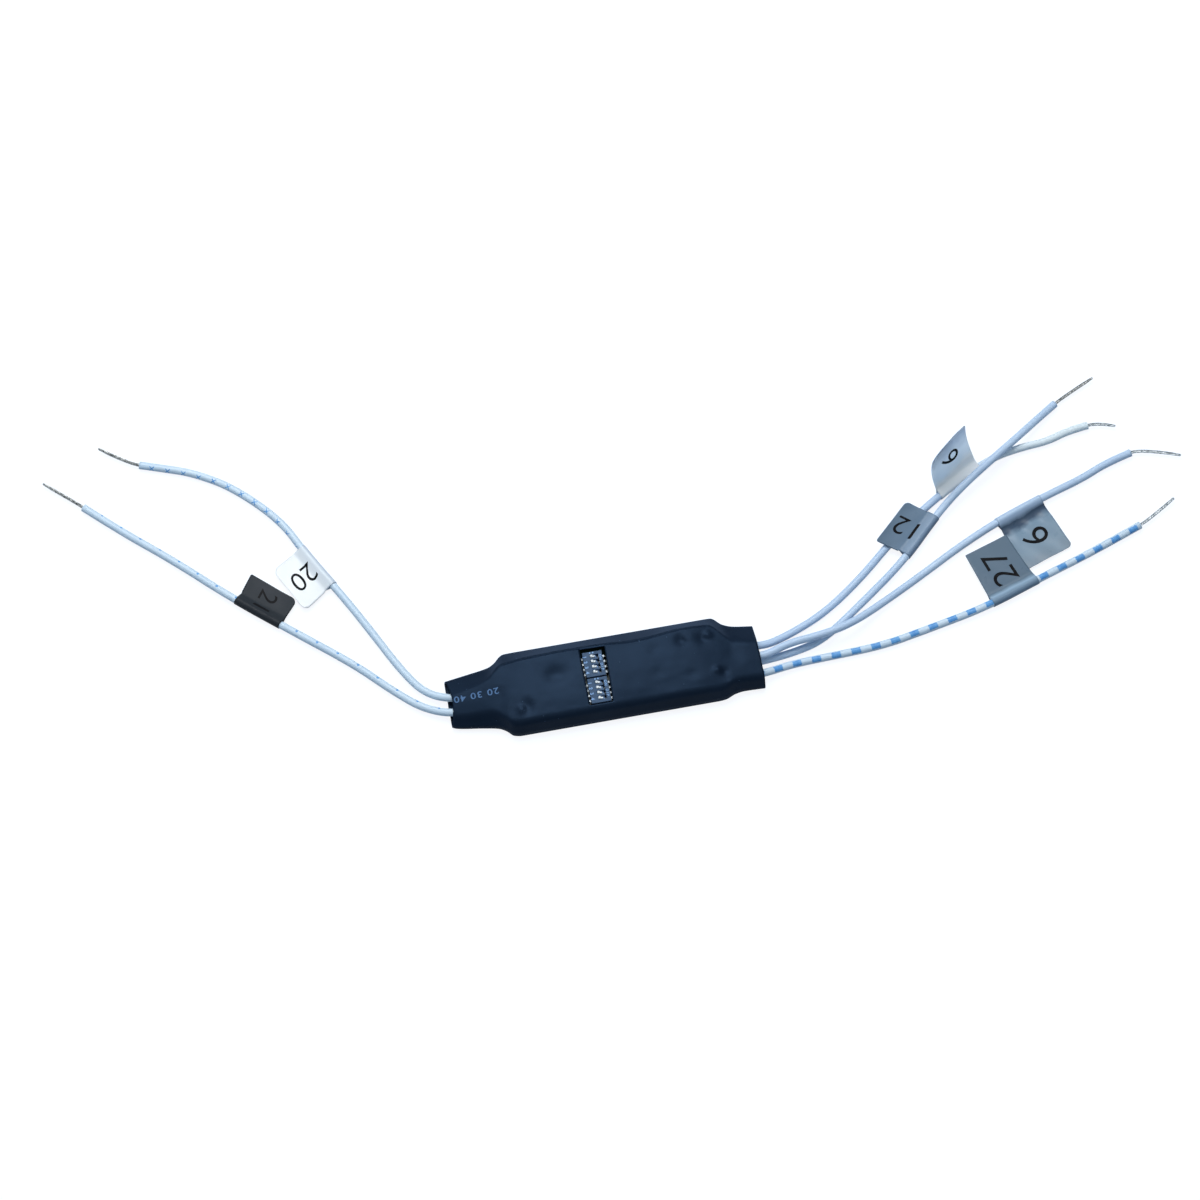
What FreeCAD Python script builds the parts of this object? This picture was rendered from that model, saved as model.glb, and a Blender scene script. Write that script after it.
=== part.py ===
import FreeCAD, Part
import math
import os

import Sketcher

# Alarm expansion module. A small circuit board lies in a black heat-shrink sleeve. Two leads
# leave the sleeve at one end and four at the other. A window cut in the sleeve shows two
# four-way miniature slide switches. Every lead carries a folded label and ends in a tinned tip.
# Frame: +X from the two-lead end to the four-lead end, +Y to the far side, +Z up. The origin
# is under the middle of the sleeve, on the surface that it lies on. Lengths in millimetres.

SIZES = {
    # Sleeve: overall size, and the places where it narrows beyond the board
    "sleeve_length": 70.9,
    "sleeve_wall": 0.5,
    "sleeve_slack": 0.15,
    "crown_height": 6.0,
    "end_height": 5.4,
    "edge_cover": 0.75,
    "crown_inset": 5.5,
    "near_slope": 2.5,
    "far_slope": 3.6,
    "bottom_radius": 1.0,
    "edge_radius": 0.9,
    "crease_radius": 1.1,
    "left_shoulder_length": 3.2,
    "left_shoulder_width": 15.8,
    "left_neck_length": 8.0,
    "left_neck_width": 13.3,
    "left_neck_shift": 0.3,
    "left_mouth_width": 11.0,
    "left_mouth_shift": 0.7,
    "left_mouth_height": 3.8,
    "left_mouth_slant": 1.1,
    "right_shoulder_length": 3.0,
    "right_shoulder_width": 16.4,
    "right_shoulder_shift": -0.45,
    "right_neck_length": 5.8,
    "right_neck_width": 15.4,
    "right_neck_shift": -0.75,
    "right_mouth_width": 15.0,
    "right_mouth_shift": -1.05,
    "right_mouth_height": 5.0,
    "mouth_edge_height": 2.6,
    # Window cut by hand in the crown of the sleeve, by its room round the switches
    "window_far_room": 1.25,
    "window_near_room": 0.75,
    "window_margin": 0.45,
    "window_offset_x": 0.17,
    "window_offset_y": 0.1,
    # Circuit board
    "board_length": 46.5,
    "board_width": 18.2,
    "board_thickness": 1.6,
    "board_lift": 1.3,
    "board_shift": 2.5,
    "board_corner": 0.6,
    # Slide switches
    "switch_length": 4.45,
    "switch_width": 6.0,
    "switch_standoff": 0.1,
    "switch_height": 2.4,
    "switch_place_x": -4.22,
    "switch_place_y": -0.6,
    "switch_spacing": 6.4,
    "way_pitch": 1.27,
    "floor_height": 1.2,
    "compartment_width": 1.0,
    "cover_thickness": 0.5,
    "cover_groove_width": 0.3,
    "cover_groove_depth": 0.12,
    "slot_width": 0.8,
    "slider_travel": 0.75,
    "slider_clearance": 0.05,
    "slider_block_length": 1.75,
    "slider_block_height": 0.3,
    "knob_length": 1.15,
    "knob_rise": 0.3,
    "contact_length": 1.7,
    "contact_width": 0.55,
    "contact_gap": 0.03,
    "lead_width": 0.5,
    "lead_thickness": 0.18,
    "lead_shoulder": 0.5,
    "lead_foot": 0.55,
    "common_blade_length": 2.375,
    "switched_blade_length": 1.175,
    # Microcontroller, regulator and rectifier
    "controller_length": 3.9,
    "controller_width": 9.9,
    "controller_height": 1.5,
    "controller_place_x": 8.0,
    "controller_ways": 8,
    "regulator_length": 1.7,
    "regulator_width": 2.9,
    "regulator_height": 1.1,
    "regulator_place_x": -12.0,
    "regulator_place_y": 3.9,
    "regulator_pitch": 0.95,
    "rectifier_length": 3.9,
    "rectifier_width": 4.8,
    "rectifier_height": 1.6,
    "rectifier_place_x": -16.7,
    "rectifier_place_y": -4.4,
    "rectifier_pitch": 2.54,
    "package_lift": 0.12,
    "package_lead_width": 0.4,
    "package_taper": 6.0,
    # Storage capacitor, resonator and chips
    "capacitor_length": 6.0,
    "capacitor_width": 3.2,
    "capacitor_height": 2.0,
    "capacitor_place_x": -11.5,
    "capacitor_place_y": -2.8,
    "strap_thickness": 0.15,
    "strap_width": 2.2,
    "strap_height": 1.2,
    "resonator_length": 3.2,
    "resonator_width": 6.0,
    "resonator_height": 1.2,
    "resonator_place_x": 15.1,
    "resonator_place_y": 3.4,
    "chip_length": 1.6,
    "chip_width": 0.8,
    "resistor_height": 0.45,
    "ceramic_height": 0.8,
    # Leads, solder joints and labels
    "wire_diameter": 1.8,
    "conductor_diameter": 0.8,
    "tail_length": 2.6,
    "tip_straight": 2.6,
    "solder_radius": 1.5,
    "tape_width": 12.0,
    "tape_thickness": 0.12,
    "label_clearance": 0.18,
    "label_corner": 1.3,
}

# Routes of the leads, from the board to the end of the insulation, as points in millimetres.
# Two leads leave the left mouth, four the right one; each name tells the lead's side and row.
ROUTES = {
    "left_far": [
        (-20.0, 2.4, 4.0), (-26.5, 1.9, 3.3), (-33.2, 1.1, 2.1), (-39.4, 4.3, 1.4),
        (-43.3, 11.4, 1.0), (-48.6, 21.6, 1.0), (-54.0, 30.4, 1.3), (-60.9, 43.9, 1.4),
        (-66.0, 52.5, 1.1), (-75.8, 62.7, 1.0), (-83.8, 68.8, 1.0), (-90.2, 71.2, 1.0),
        (-95.9, 73.2, 1.0),
    ],
    "left_near": [
        (-20.0, -1.2, 4.0), (-26.6, -1.6, 3.3), (-33.6, -2.4, 2.1), (-40.6, 0.3, 1.4),
        (-47.0, 6.2, 1.0), (-54.5, 14.2, 1.0), (-66.6, 24.4, 1.3), (-79.6, 36.2, 1.4),
        (-91.2, 47.3, 1.0), (-102.5, 56.9, 1.0), (-110.2, 64.5, 1.0),
    ],
    "right_back": [
        (25.0, 3.6, 4.0), (30.6, 2.4, 3.4), (36.4, 0.9, 2.2), (43.6, 2.8, 1.3),
        (52.5, 7.0, 1.0), (62.3, 13.8, 1.0), (72.0, 22.2, 1.0), (84.0, 30.2, 1.3),
        (98.0, 38.4, 1.3), (106.5, 40.0, 1.0), (113.0, 40.6, 1.0), (118.4, 41.9, 1.0),
        (123.1, 42.4, 1.0),
    ],
    "right_far": [
        (25.0, -2.9, 4.0), (30.4, -2.9, 3.0), (36.2, -2.9, 1.5), (43.5, -2.5, 1.0),
        (51.0, 0.2, 1.0), (60.5, 7.2, 1.0), (73.0, 16.2, 1.3), (83.0, 25.4, 1.6),
        (91.0, 31.5, 3.2), (105.0, 40.8, 3.5), (112.3, 46.2, 1.5), (117.0, 49.3, 1.0),
    ],
    "right_middle": [
        (25.0, 0.2, 4.0), (30.2, -0.6, 3.7), (36.0, -2.0, 3.3), (42.5, -0.4, 3.3),
        (49.5, 1.0, 3.6), (57.5, 1.9, 3.4), (66.0, 5.9, 1.2), (77.0, 11.3, 1.0),
        (86.5, 17.0, 1.0), (96.8, 21.7, 1.3), (109.5, 26.1, 1.3), (118.5, 29.2, 1.0),
        (125.0, 32.4, 1.0), (131.2, 33.6, 1.0),
    ],
    "right_near": [
        (25.0, -5.9, 4.0), (30.4, -6.0, 3.2), (36.4, -5.8, 1.9), (43.0, -4.4, 1.1),
        (52.5, -3.7, 1.0), (64.0, -3.3, 1.0), (75.5, -1.1, 1.0), (88.8, 1.8, 1.3),
        (103.5, 6.5, 1.3), (116.5, 10.3, 1.0), (128.7, 14.9, 1.0),
    ],
}

# Ends of the stripped tips, beyond the insulation of each lead.
TIPS = {
    "left_far": (-104.9, 79.3, 1.0),
    "left_near": (-118.6, 72.6, 1.0),
    "right_back": (129.6, 41.0, 1.0),
    "right_far": (127.5, 54.4, 1.0),
    "right_middle": (142.7, 30.8, 1.0),
    "right_near": (138.2, 20.4, 1.0),
}

# Labels: the distance of each back from the end of the insulation, the side its tail lies on
# (1 left, -1 right of the lead), the tail's length, its tilt in degrees, and the radius it
# curls up with.
LABELS = {
    "left_far": (51.4, 1, 7.3, -3.0, 70.0),
    "left_near": (49.2, -1, 6.0, -4.0, 60.0),
    "right_back": (34.4, 1, 12.2, 50.0, 19.0),
    "right_far": (48.3, 1, 6.4, 12.0, 90.0),
    "right_middle": (31.1, -1, 12.3, -4.5, 120.0),
    "right_near": (34.3, 1, 11.8, 0.5, 150.0),
}

# Chip parts on the board: the place of each, from the middle of the board.
RESISTOR_PLACES = [
    (-20.0, 7.2), (-17.0, 7.2), (-14.0, 7.2), (1.5, -6.6), (1.5, -5.0), (1.5, 5.2),
    (14.5, -2.6), (14.5, -4.2), (14.5, -5.8), (17.4, -7.2),
]
CERAMIC_PLACES = [
    (-15.5, 4.9), (-15.5, 3.2), (1.5, 3.4), (1.5, -3.2), (14.5, -1.0), (14.5, -7.4),
]


class Measure:
    """A size worked out from the sheet: its number, and the expression that keeps it bound."""

    def __init__(self, number, text=None):
        self.number = float(number)
        self.text = text or repr(self.number)

    def join(self, other, sign, swap=False):
        left, right = (measure(other), self) if swap else (self, measure(other))
        number = {
            "+": lambda a, b: a + b,
            "-": lambda a, b: a - b,
            "*": lambda a, b: a * b,
            "/": lambda a, b: a / b,
        }[sign](left.number, right.number)
        return Measure(number, f"({left.text} {sign} {right.text})")

    def __add__(self, other):
        return self.join(other, "+")

    def __radd__(self, other):
        return self.join(other, "+", swap=True)

    def __sub__(self, other):
        return self.join(other, "-")

    def __rsub__(self, other):
        return self.join(other, "-", swap=True)

    def __mul__(self, other):
        return self.join(other, "*")

    def __rmul__(self, other):
        return self.join(other, "*", swap=True)

    def __truediv__(self, other):
        return self.join(other, "/")

    def __neg__(self):
        return self.join(-1, "*")

    def root(self):
        return Measure(math.sqrt(self.number), f"sqrt({self.text})")


def measure(value):
    return value if isinstance(value, Measure) else Measure(value)


doc = FreeCAD.newDocument("AlarmExpansionModule")
sheet = doc.addObject("Spreadsheet::Sheet", "Sizes")
for row, (name, number) in enumerate(SIZES.items(), start=1):
    sheet.set(f"A{row}", name)
    sheet.set(f"B{row}", str(number))
    sheet.setAlias(f"B{row}", name)
doc.recompute()
size = {name: Measure(number, f"Sizes.{name}") for name, number in SIZES.items()}
nodes = []


def bind(item, prop, value):
    """Gives a property its value and ties it to the sheet."""
    item.setExpression(prop, measure(value).text)


def node(item):
    """Marks an object as a piece of its own, written to a file of its name."""
    nodes.append(item)
    return item


def box(name, middle, bottom, extent):
    """A block standing on bottom with its middle at (x, y)."""
    solid = doc.addObject("Part::Box", name)
    for prop, value in zip(("Length", "Width", "Height"), extent):
        bind(solid, prop, value)
    bind(solid, "Placement.Base.x", middle[0] - extent[0] / 2)
    bind(solid, "Placement.Base.y", middle[1] - extent[1] / 2)
    bind(solid, "Placement.Base.z", bottom)
    return solid


def group(name, members):
    """Several separate solids in one piece list entry."""
    whole = doc.addObject("Part::Compound", name)
    whole.Links = members
    return whole


def sketch_on(body, name, role, offset=0.0):
    """A sketch on one of the body's origin planes, moved along the plane's normal."""
    sketch = body.newObject("Sketcher::SketchObject", name)
    plane = next(item for item in body.Origin.OriginFeatures if item.Role == role)
    sketch.AttachmentSupport = (plane, [""])
    sketch.MapMode = "FlatFace"
    bind(sketch, "AttachmentOffset.Base.z", offset)
    return sketch


def dimension(sketch, kind, label, value, *where):
    """Adds a named dimension and ties it to the sheet."""
    number = measure(value).number
    index = sketch.addConstraint(Sketcher.Constraint(kind, *where, number))
    sketch.renameConstraint(index, label)
    sketch.setExpression(f"Constraints.{label}", measure(value).text)


def polygon(sketch, points):
    """A closed outline of straight sides with every corner placed from the sheet."""
    corners = [(measure(u), measure(v)) for u, v in points]
    spots = [FreeCAD.Vector(u.number, v.number, 0) for u, v in corners]
    lines = [
        sketch.addGeometry(Part.LineSegment(a, b), False)
        for a, b in zip(spots, spots[1:] + spots[:1])
    ]
    for line, after in zip(lines, lines[1:] + lines[:1]):
        sketch.addConstraint(Sketcher.Constraint("Coincident", line, 2, after, 1))
    for line, (u, v) in zip(lines, corners):
        dimension(sketch, "DistanceX", f"u{line}", u, -1, 1, line, 1)
        dimension(sketch, "DistanceY", f"v{line}", v, -1, 1, line, 1)


def rectangle(sketch, middle, length, width):
    u, v = middle
    polygon(
        sketch,
        [
            (u - length / 2, v - width / 2),
            (u + length / 2, v - width / 2),
            (u + length / 2, v + width / 2),
            (u - length / 2, v + width / 2),
        ],
    )


def belt(sketch, circles):
    """A closed outline like a belt round pulleys: arcs about the circles, joined by tangents."""
    rounds = [tuple(measure(value) for value in circle) for circle in circles]
    spots = [(u.number, v.number, r.number) for u, v, r in rounds]
    touches = []
    for (u1, v1, r1), (u2, v2, r2) in zip(spots, spots[1:] + spots[:1]):
        span = math.hypot(u2 - u1, v2 - v1)
        along = ((u2 - u1) / span, (v2 - v1) / span)
        lean = (r1 - r2) / span
        out = math.sqrt(1 - lean * lean)
        normal = (along[0] * lean + along[1] * out, along[1] * lean - along[0] * out)
        touches.append(
            (
                (u1 + r1 * normal[0], v1 + r1 * normal[1]),
                (u2 + r2 * normal[0], v2 + r2 * normal[1]),
            )
        )
    lines = [
        sketch.addGeometry(Part.LineSegment(FreeCAD.Vector(*a, 0), FreeCAD.Vector(*b, 0)), False)
        for a, b in touches
    ]
    arcs = []
    for index, (u, v, r) in enumerate(spots):
        arrive = touches[index - 1][1]
        leave = touches[index][0]
        start = math.atan2(arrive[1] - v, arrive[0] - u)
        end = math.atan2(leave[1] - v, leave[0] - u)
        while end < start:
            end += 2 * math.pi
        circle = Part.Circle(FreeCAD.Vector(u, v, 0), FreeCAD.Vector(0, 0, 1), r)
        arcs.append(sketch.addGeometry(Part.ArcOfCircle(circle, start, end), False))
    for index, arc in enumerate(arcs):
        sketch.addConstraint(Sketcher.Constraint("Tangent", lines[index - 1], 2, arc, 1))
        sketch.addConstraint(Sketcher.Constraint("Tangent", arc, 2, lines[index], 1))
        u, v, r = rounds[index]
        dimension(sketch, "DistanceX", f"u{index}", u, -1, 1, arc, 3)
        dimension(sketch, "DistanceY", f"v{index}", v, -1, 1, arc, 3)
        dimension(sketch, "Radius", f"r{index}", r, arc)


def pad(body, sketch, length, symmetric=False, taper=None):
    feature = body.newObject("PartDesign::Pad", f"{sketch.Name}Pad")
    feature.Profile = sketch
    bind(feature, "Length", length)
    if symmetric:
        feature.SideType = "Symmetric"
    if taper is not None:
        bind(feature, "TaperAngle", -taper)
    return feature


def pocket(body, sketch, depth, upward=False):
    feature = body.newObject("PartDesign::Pocket", f"{sketch.Name}Pocket")
    feature.Profile = sketch
    feature.Reversed = upward
    bind(feature, "Length", depth)
    return feature


def repeat_along_y(body, feature, pitch, count):
    """Copies a feature along the body's Y axis at the given pitch."""
    pattern = body.newObject("PartDesign::LinearPattern", f"{feature.Name}Row")
    pattern.Originals = [feature]
    axis = next(item for item in body.Origin.OriginFeatures if item.Role == "Y_Axis")
    pattern.Direction = (axis, [""])
    pattern.Mode = "Spacing"
    bind(pattern, "Offset", pitch)
    bind(pattern, "Occurrences", count)
    body.Tip = pattern
    return pattern


# Levels and places that several pieces share
board_top = size["board_lift"] + size["board_thickness"]
board_middle = size["board_shift"]
board_left = board_middle - size["board_length"] / 2
board_right = board_middle + size["board_length"] / 2
sleeve_half_width = size["board_width"] / 2 + size["sleeve_slack"] + size["sleeve_wall"]
sleeve_skin = size["sleeve_wall"] + size["sleeve_slack"]
switch_x = board_middle + size["switch_place_x"]
wire_radius = size["wire_diameter"] / 2
switch_base = board_top + size["switch_standoff"]
switch_top = switch_base + size["switch_height"]
cover_base = switch_top - size["cover_thickness"]
compartment_floor = switch_base + size["floor_height"]
slider_top = cover_base - size["slider_clearance"]
slider_base = slider_top - size["slider_block_height"]
slot_length = size["knob_length"] + size["slider_travel"] + 2 * size["slider_clearance"]
compartment_length = (
    size["slider_block_length"] + size["slider_travel"] + 2 * size["slider_clearance"]
)
ways = 4


def sleeve_stations():
    """Places along X where the sleeve's section is set: (x, near, far, height, edge height)."""
    half = size["sleeve_length"] / 2

    def span(width, shift):
        return shift - width / 2, shift + width / 2

    left_mouth = span(size["left_mouth_width"], size["left_mouth_shift"])
    left_neck = span(size["left_neck_width"], size["left_neck_shift"])
    left_shoulder = span(size["left_shoulder_width"], measure(0))
    right_shoulder = span(size["right_shoulder_width"], size["right_shoulder_shift"])
    right_neck = span(size["right_neck_width"], size["right_neck_shift"])
    right_mouth = span(size["right_mouth_width"], size["right_mouth_shift"])
    full = (-sleeve_half_width, sleeve_half_width)
    low = size["mouth_edge_height"]
    edge = board_top + size["edge_cover"]
    end = size["end_height"]
    crown = size["crown_height"]
    left_neck_height = (size["left_mouth_height"] + end) / 2
    right_neck_height = (size["right_mouth_height"] + end) / 2
    neck_edge = (low + edge) / 2
    return [
        (-half, *left_mouth, size["left_mouth_height"], low),
        (board_left - size["left_neck_length"], *left_neck, left_neck_height, neck_edge),
        (board_left - size["left_shoulder_length"], *left_shoulder, end, edge),
        (board_left - sleeve_skin, *full, end, edge),
        (board_left + size["crown_inset"], *full, crown, edge),
        (board_right - size["crown_inset"], *full, crown, edge),
        (board_right + sleeve_skin, *full, end, edge),
        (board_right + size["right_shoulder_length"], *right_shoulder, end, edge),
        (board_right + size["right_neck_length"], *right_neck, right_neck_height, neck_edge),
        (half, *right_mouth, size["right_mouth_height"], low),
    ]


def sleeve_section(body, name, station, inset):
    """One section of the sleeve: flat below, rounded board edges, and a crown with two creases."""
    x, near, far, height, edge = station
    low = size["bottom_radius"]
    side = size["edge_radius"]
    crease = size["crease_radius"]
    sketch = sketch_on(body, name, "YZ_Plane", x)
    belt(
        sketch,
        [
            (near + low, low, low - inset),
            (far - low, low, low - inset),
            (far - side, edge - side, side - inset),
            (far - size["far_slope"], height - crease, crease - inset),
            (near + size["near_slope"], height - crease, crease - inset),
            (near + side, edge - side, side - inset),
        ],
    )
    return sketch


def sleeve():
    """The heat-shrink tube: its outside, its bore, the slanted left mouth and the window."""
    body = doc.addObject("PartDesign::Body", "heat_shrink_sleeve")
    stations = sleeve_stations()
    for kind, inset in (("Additive", 0.0), ("Subtractive", size["sleeve_wall"])):
        sections = [
            sleeve_section(body, f"{kind}Section{index}", station, inset)
            for index, station in enumerate(stations)
        ]
        loft = body.newObject(f"PartDesign::{kind}Loft", f"{kind}Skin")
        loft.Profile = sections[0]
        loft.Sections = sections[1:]
        loft.Ruled = True
    # The slanted cut runs on above the crown, because the sleeve rises behind its mouth
    left = -size["sleeve_length"] / 2
    foot = 1.5 * size["sleeve_wall"]
    rise = size["left_mouth_height"] - foot
    reach = size["left_mouth_slant"] * (size["crown_height"] - foot) / rise
    slant = sketch_on(body, "MouthSlant", "XZ_Plane")
    polygon(
        slant,
        [
            (left - size["sleeve_wall"], foot),
            (left, foot),
            (left + reach, size["crown_height"]),
            (left - size["sleeve_wall"], size["crown_height"]),
        ],
    )
    cut = pocket(body, slant, size["board_width"])
    cut.SideType = "Symmetric"
    window = sketch_on(body, "Window", "XY_Plane", size["crown_height"] - 2 * size["sleeve_wall"])
    half_width = (size["switch_spacing"] + size["switch_width"]) / 2 + size["window_margin"]
    middle = size["switch_place_y"] + size["window_offset_y"]
    far_length = size["switch_length"] + size["window_far_room"]
    near_length = size["switch_length"] + size["window_near_room"]
    west = switch_x + size["window_offset_x"] - far_length / 2
    polygon(
        window,
        [
            (west, middle - half_width),
            (west + near_length, middle - half_width),
            (west + far_length, middle + half_width),
            (west, middle + half_width),
        ],
    )
    pocket(body, window, 3 * size["sleeve_wall"], upward=True)
    return body


def board():
    body = doc.addObject("PartDesign::Body", "circuit_board")
    half_length = size["board_length"] / 2
    half_width = size["board_width"] / 2
    corner = size["board_corner"]
    outline = sketch_on(body, "BoardOutline", "XY_Plane", size["board_lift"])
    belt(
        outline,
        [
            (size["board_shift"] - half_length + corner, -half_width + corner, corner),
            (size["board_shift"] + half_length - corner, -half_width + corner, corner),
            (size["board_shift"] + half_length - corner, half_width - corner, corner),
            (size["board_shift"] - half_length + corner, half_width - corner, corner),
        ],
    )
    pad(body, outline, size["board_thickness"])
    return body


def gull_wing_leads(name, middle, half_length, pitch, count, entry, blades, width):
    """Two rows of bent leads beside a package: blade, shoulder, leg and foot."""
    body = doc.addObject("PartDesign::Body", name)
    thick = size["lead_thickness"]
    leg = half_length + size["lead_shoulder"]
    foot = leg + size["lead_foot"]
    first = middle[1] - pitch * (count - 1) / 2
    for side, sign, blade in (("Right", 1, blades[0]), ("Left", -1, blades[1])):
        inner = half_length - blade
        profile = [
            (inner, entry),
            (leg - thick, entry),
            (leg - thick, board_top),
            (foot, board_top),
            (foot, board_top + thick),
            (leg, board_top + thick),
            (leg, entry + thick),
            (inner, entry + thick),
        ]
        sketch = sketch_on(body, f"{name}{side}", "XZ_Plane", -first)
        polygon(sketch, [(middle[0] + sign * u, v) for u, v in profile])
        lead = pad(body, sketch, width, symmetric=True)
        repeat_along_y(body, lead, pitch, count)
    return body


def switch_housing(name, middle):
    """The switch's tray: a floor, walls, and one compartment for each way."""
    body = doc.addObject("PartDesign::Body", name)
    x, y = middle
    first = y - size["way_pitch"] * (ways - 1) / 2
    outline = sketch_on(body, f"{name}Outline", "XY_Plane", switch_base)
    rectangle(outline, middle, size["switch_length"], size["switch_width"])
    pad(body, outline, cover_base - switch_base)
    room = sketch_on(body, f"{name}Room", "XY_Plane", compartment_floor)
    room_place = (x + size["slider_travel"] / 2, first)
    rectangle(room, room_place, compartment_length, size["compartment_width"])
    rooms = pocket(body, room, cover_base - compartment_floor, upward=True)
    repeat_along_y(body, rooms, size["way_pitch"], ways)
    slit = sketch_on(body, f"{name}Slit", "XY_Plane", compartment_floor)
    rectangle(slit, (x, first), size["switch_length"], size["lead_width"])
    slits = pocket(body, slit, size["lead_thickness"], upward=True)
    repeat_along_y(body, slits, size["way_pitch"], ways)
    return body


def switch_cover(name, middle):
    """The switch's lid: one slot for each knob, and a groove across their ON ends."""
    body = doc.addObject("PartDesign::Body", name)
    x, y = middle
    first = y - size["way_pitch"] * (ways - 1) / 2
    outline = sketch_on(body, f"{name}Outline", "XY_Plane", cover_base)
    rectangle(outline, middle, size["switch_length"], size["switch_width"])
    pad(body, outline, size["cover_thickness"])
    slot = sketch_on(body, f"{name}Slot", "XY_Plane", cover_base)
    rectangle(slot, (x + size["slider_travel"] / 2, first), slot_length, size["slot_width"])
    slots = pocket(body, slot, size["cover_thickness"], upward=True)
    repeat_along_y(body, slots, size["way_pitch"], ways)
    groove = sketch_on(body, f"{name}Groove", "XY_Plane", switch_top)
    groove_length = size["way_pitch"] * (ways - 1) + size["slot_width"]
    rectangle(
        groove,
        (x + (size["slider_travel"] + slot_length - size["cover_groove_width"]) / 2, y),
        size["cover_groove_width"],
        groove_length,
    )
    pocket(body, groove, size["cover_groove_depth"])
    return body


def switch_slider(name, place):
    """One slider: a block that runs in its compartment under the lid, and its knob."""
    body = doc.addObject("PartDesign::Body", name)
    block = sketch_on(body, f"{name}Block", "XY_Plane", slider_base)
    block_width = size["compartment_width"] - 2 * size["slider_clearance"]
    rectangle(block, place, size["slider_block_length"], block_width)
    pad(body, block, size["slider_block_height"])
    knob = sketch_on(body, f"{name}Knob", "XY_Plane", slider_top)
    knob_width = size["slot_width"] - 2 * size["slider_clearance"]
    rectangle(knob, place, size["knob_length"], knob_width)
    pad(body, knob, switch_top + size["knob_rise"] - slider_top)
    return body


def switch(name, middle):
    """One four-way slide switch and its loose pieces."""
    x, y = middle
    node(switch_housing(f"{name}_housing", middle))
    node(switch_cover(f"{name}_cover", middle))
    node(
        gull_wing_leads(
            f"{name}_terminals",
            middle,
            size["switch_length"] / 2,
            size["way_pitch"],
            measure(ways),
            compartment_floor,
            (size["switched_blade_length"], size["common_blade_length"]),
            size["lead_width"],
        )
    )
    for way in range(ways):
        # Way 1 is at the far side
        place = (x, y + size["way_pitch"] * ((ways - 1) / 2 - way))
        node(switch_slider(f"{name}_slider_{way + 1}", place))
        extent = (
            size["contact_length"],
            size["contact_width"],
            slider_base - compartment_floor - size["lead_thickness"] - size["contact_gap"],
        )
        bottom = compartment_floor + size["lead_thickness"] + size["contact_gap"]
        node(box(f"{name}_contact_{way + 1}", place, bottom, extent))


def package(name, middle, length, width, height, pitch, count, lead_width):
    """A moulded package with drafted sides, and its two rows of leads."""
    body = doc.addObject("PartDesign::Body", f"{name}_body")
    base = board_top + size["package_lift"]
    outline = sketch_on(body, f"{name}Outline", "XY_Plane", base)
    rectangle(outline, middle, length, width)
    pad(body, outline, height, taper=size["package_taper"])
    node(body)
    node(
        gull_wing_leads(
            f"{name}_leads",
            middle,
            length / 2,
            pitch,
            measure(count),
            base + height / 3,
            (measure(0), measure(0)),
            lead_width,
        )
    )


def storage_capacitor():
    """A moulded tantalum capacitor and the two metal straps at its ends."""
    middle = (board_middle + size["capacitor_place_x"], size["capacitor_place_y"])
    extent = (size["capacitor_width"], size["capacitor_length"], size["capacitor_height"])
    node(box("storage_capacitor", middle, board_top + size["strap_thickness"], extent))
    straps = []
    for index, sign in enumerate((-1, 1)):
        edge = middle[1] + sign * (size["capacitor_length"] + size["strap_thickness"]) / 2
        wall = box(
            f"StrapWall{index}",
            (middle[0], edge),
            board_top,
            (size["strap_width"], size["strap_thickness"], size["strap_height"]),
        )
        sole = box(
            f"StrapSole{index}",
            (middle[0], edge - sign * size["strap_height"] / 2),
            board_top,
            (size["strap_width"], size["strap_height"], size["strap_thickness"]),
        )
        strap = doc.addObject("Part::Fuse", f"Strap{index}")
        strap.Base = wall
        strap.Tool = sole
        straps.append(strap)
    node(group("storage_capacitor_straps", straps))


def chips(name, places, height):
    """Small chip parts soldered flat on the board."""
    extent = (size["chip_length"], size["chip_width"], height)
    solids = []
    for index, (x, y) in enumerate(places):
        place = (board_middle + x, measure(y))
        solids.append(box(f"{name}_{index}", place, board_top, extent))
    return group(name, solids)


def lead_route(points):
    """Straight runs joined by tangent arcs, each as large as its two runs allow."""
    spots = [FreeCAD.Vector(*point) for point in points]
    edges = []
    radii = []
    start = spots[0]
    for before, corner, after in zip(spots, spots[1:], spots[2:]):
        inward = (before - corner).normalize()
        outward = (after - corner).normalize()
        turn = math.pi - inward.getAngle(outward)
        shorter = min((before - corner).Length, (after - corner).Length)
        setback = 0.45 * shorter
        radii.append(setback / math.tan(turn / 2))
        arrive = corner + inward * setback
        leave = corner + outward * setback
        bisector = (inward + outward).normalize()
        middle = corner + bisector * (radii[-1] / math.cos(turn / 2) - radii[-1])
        edges.append(Part.LineSegment(start, arrive).toShape())
        edges.append(Part.Arc(arrive, middle, leave).toShape())
        start = leave
    edges.append(Part.LineSegment(start, spots[-1]).toShape())
    return Part.Wire(edges), radii


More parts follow.
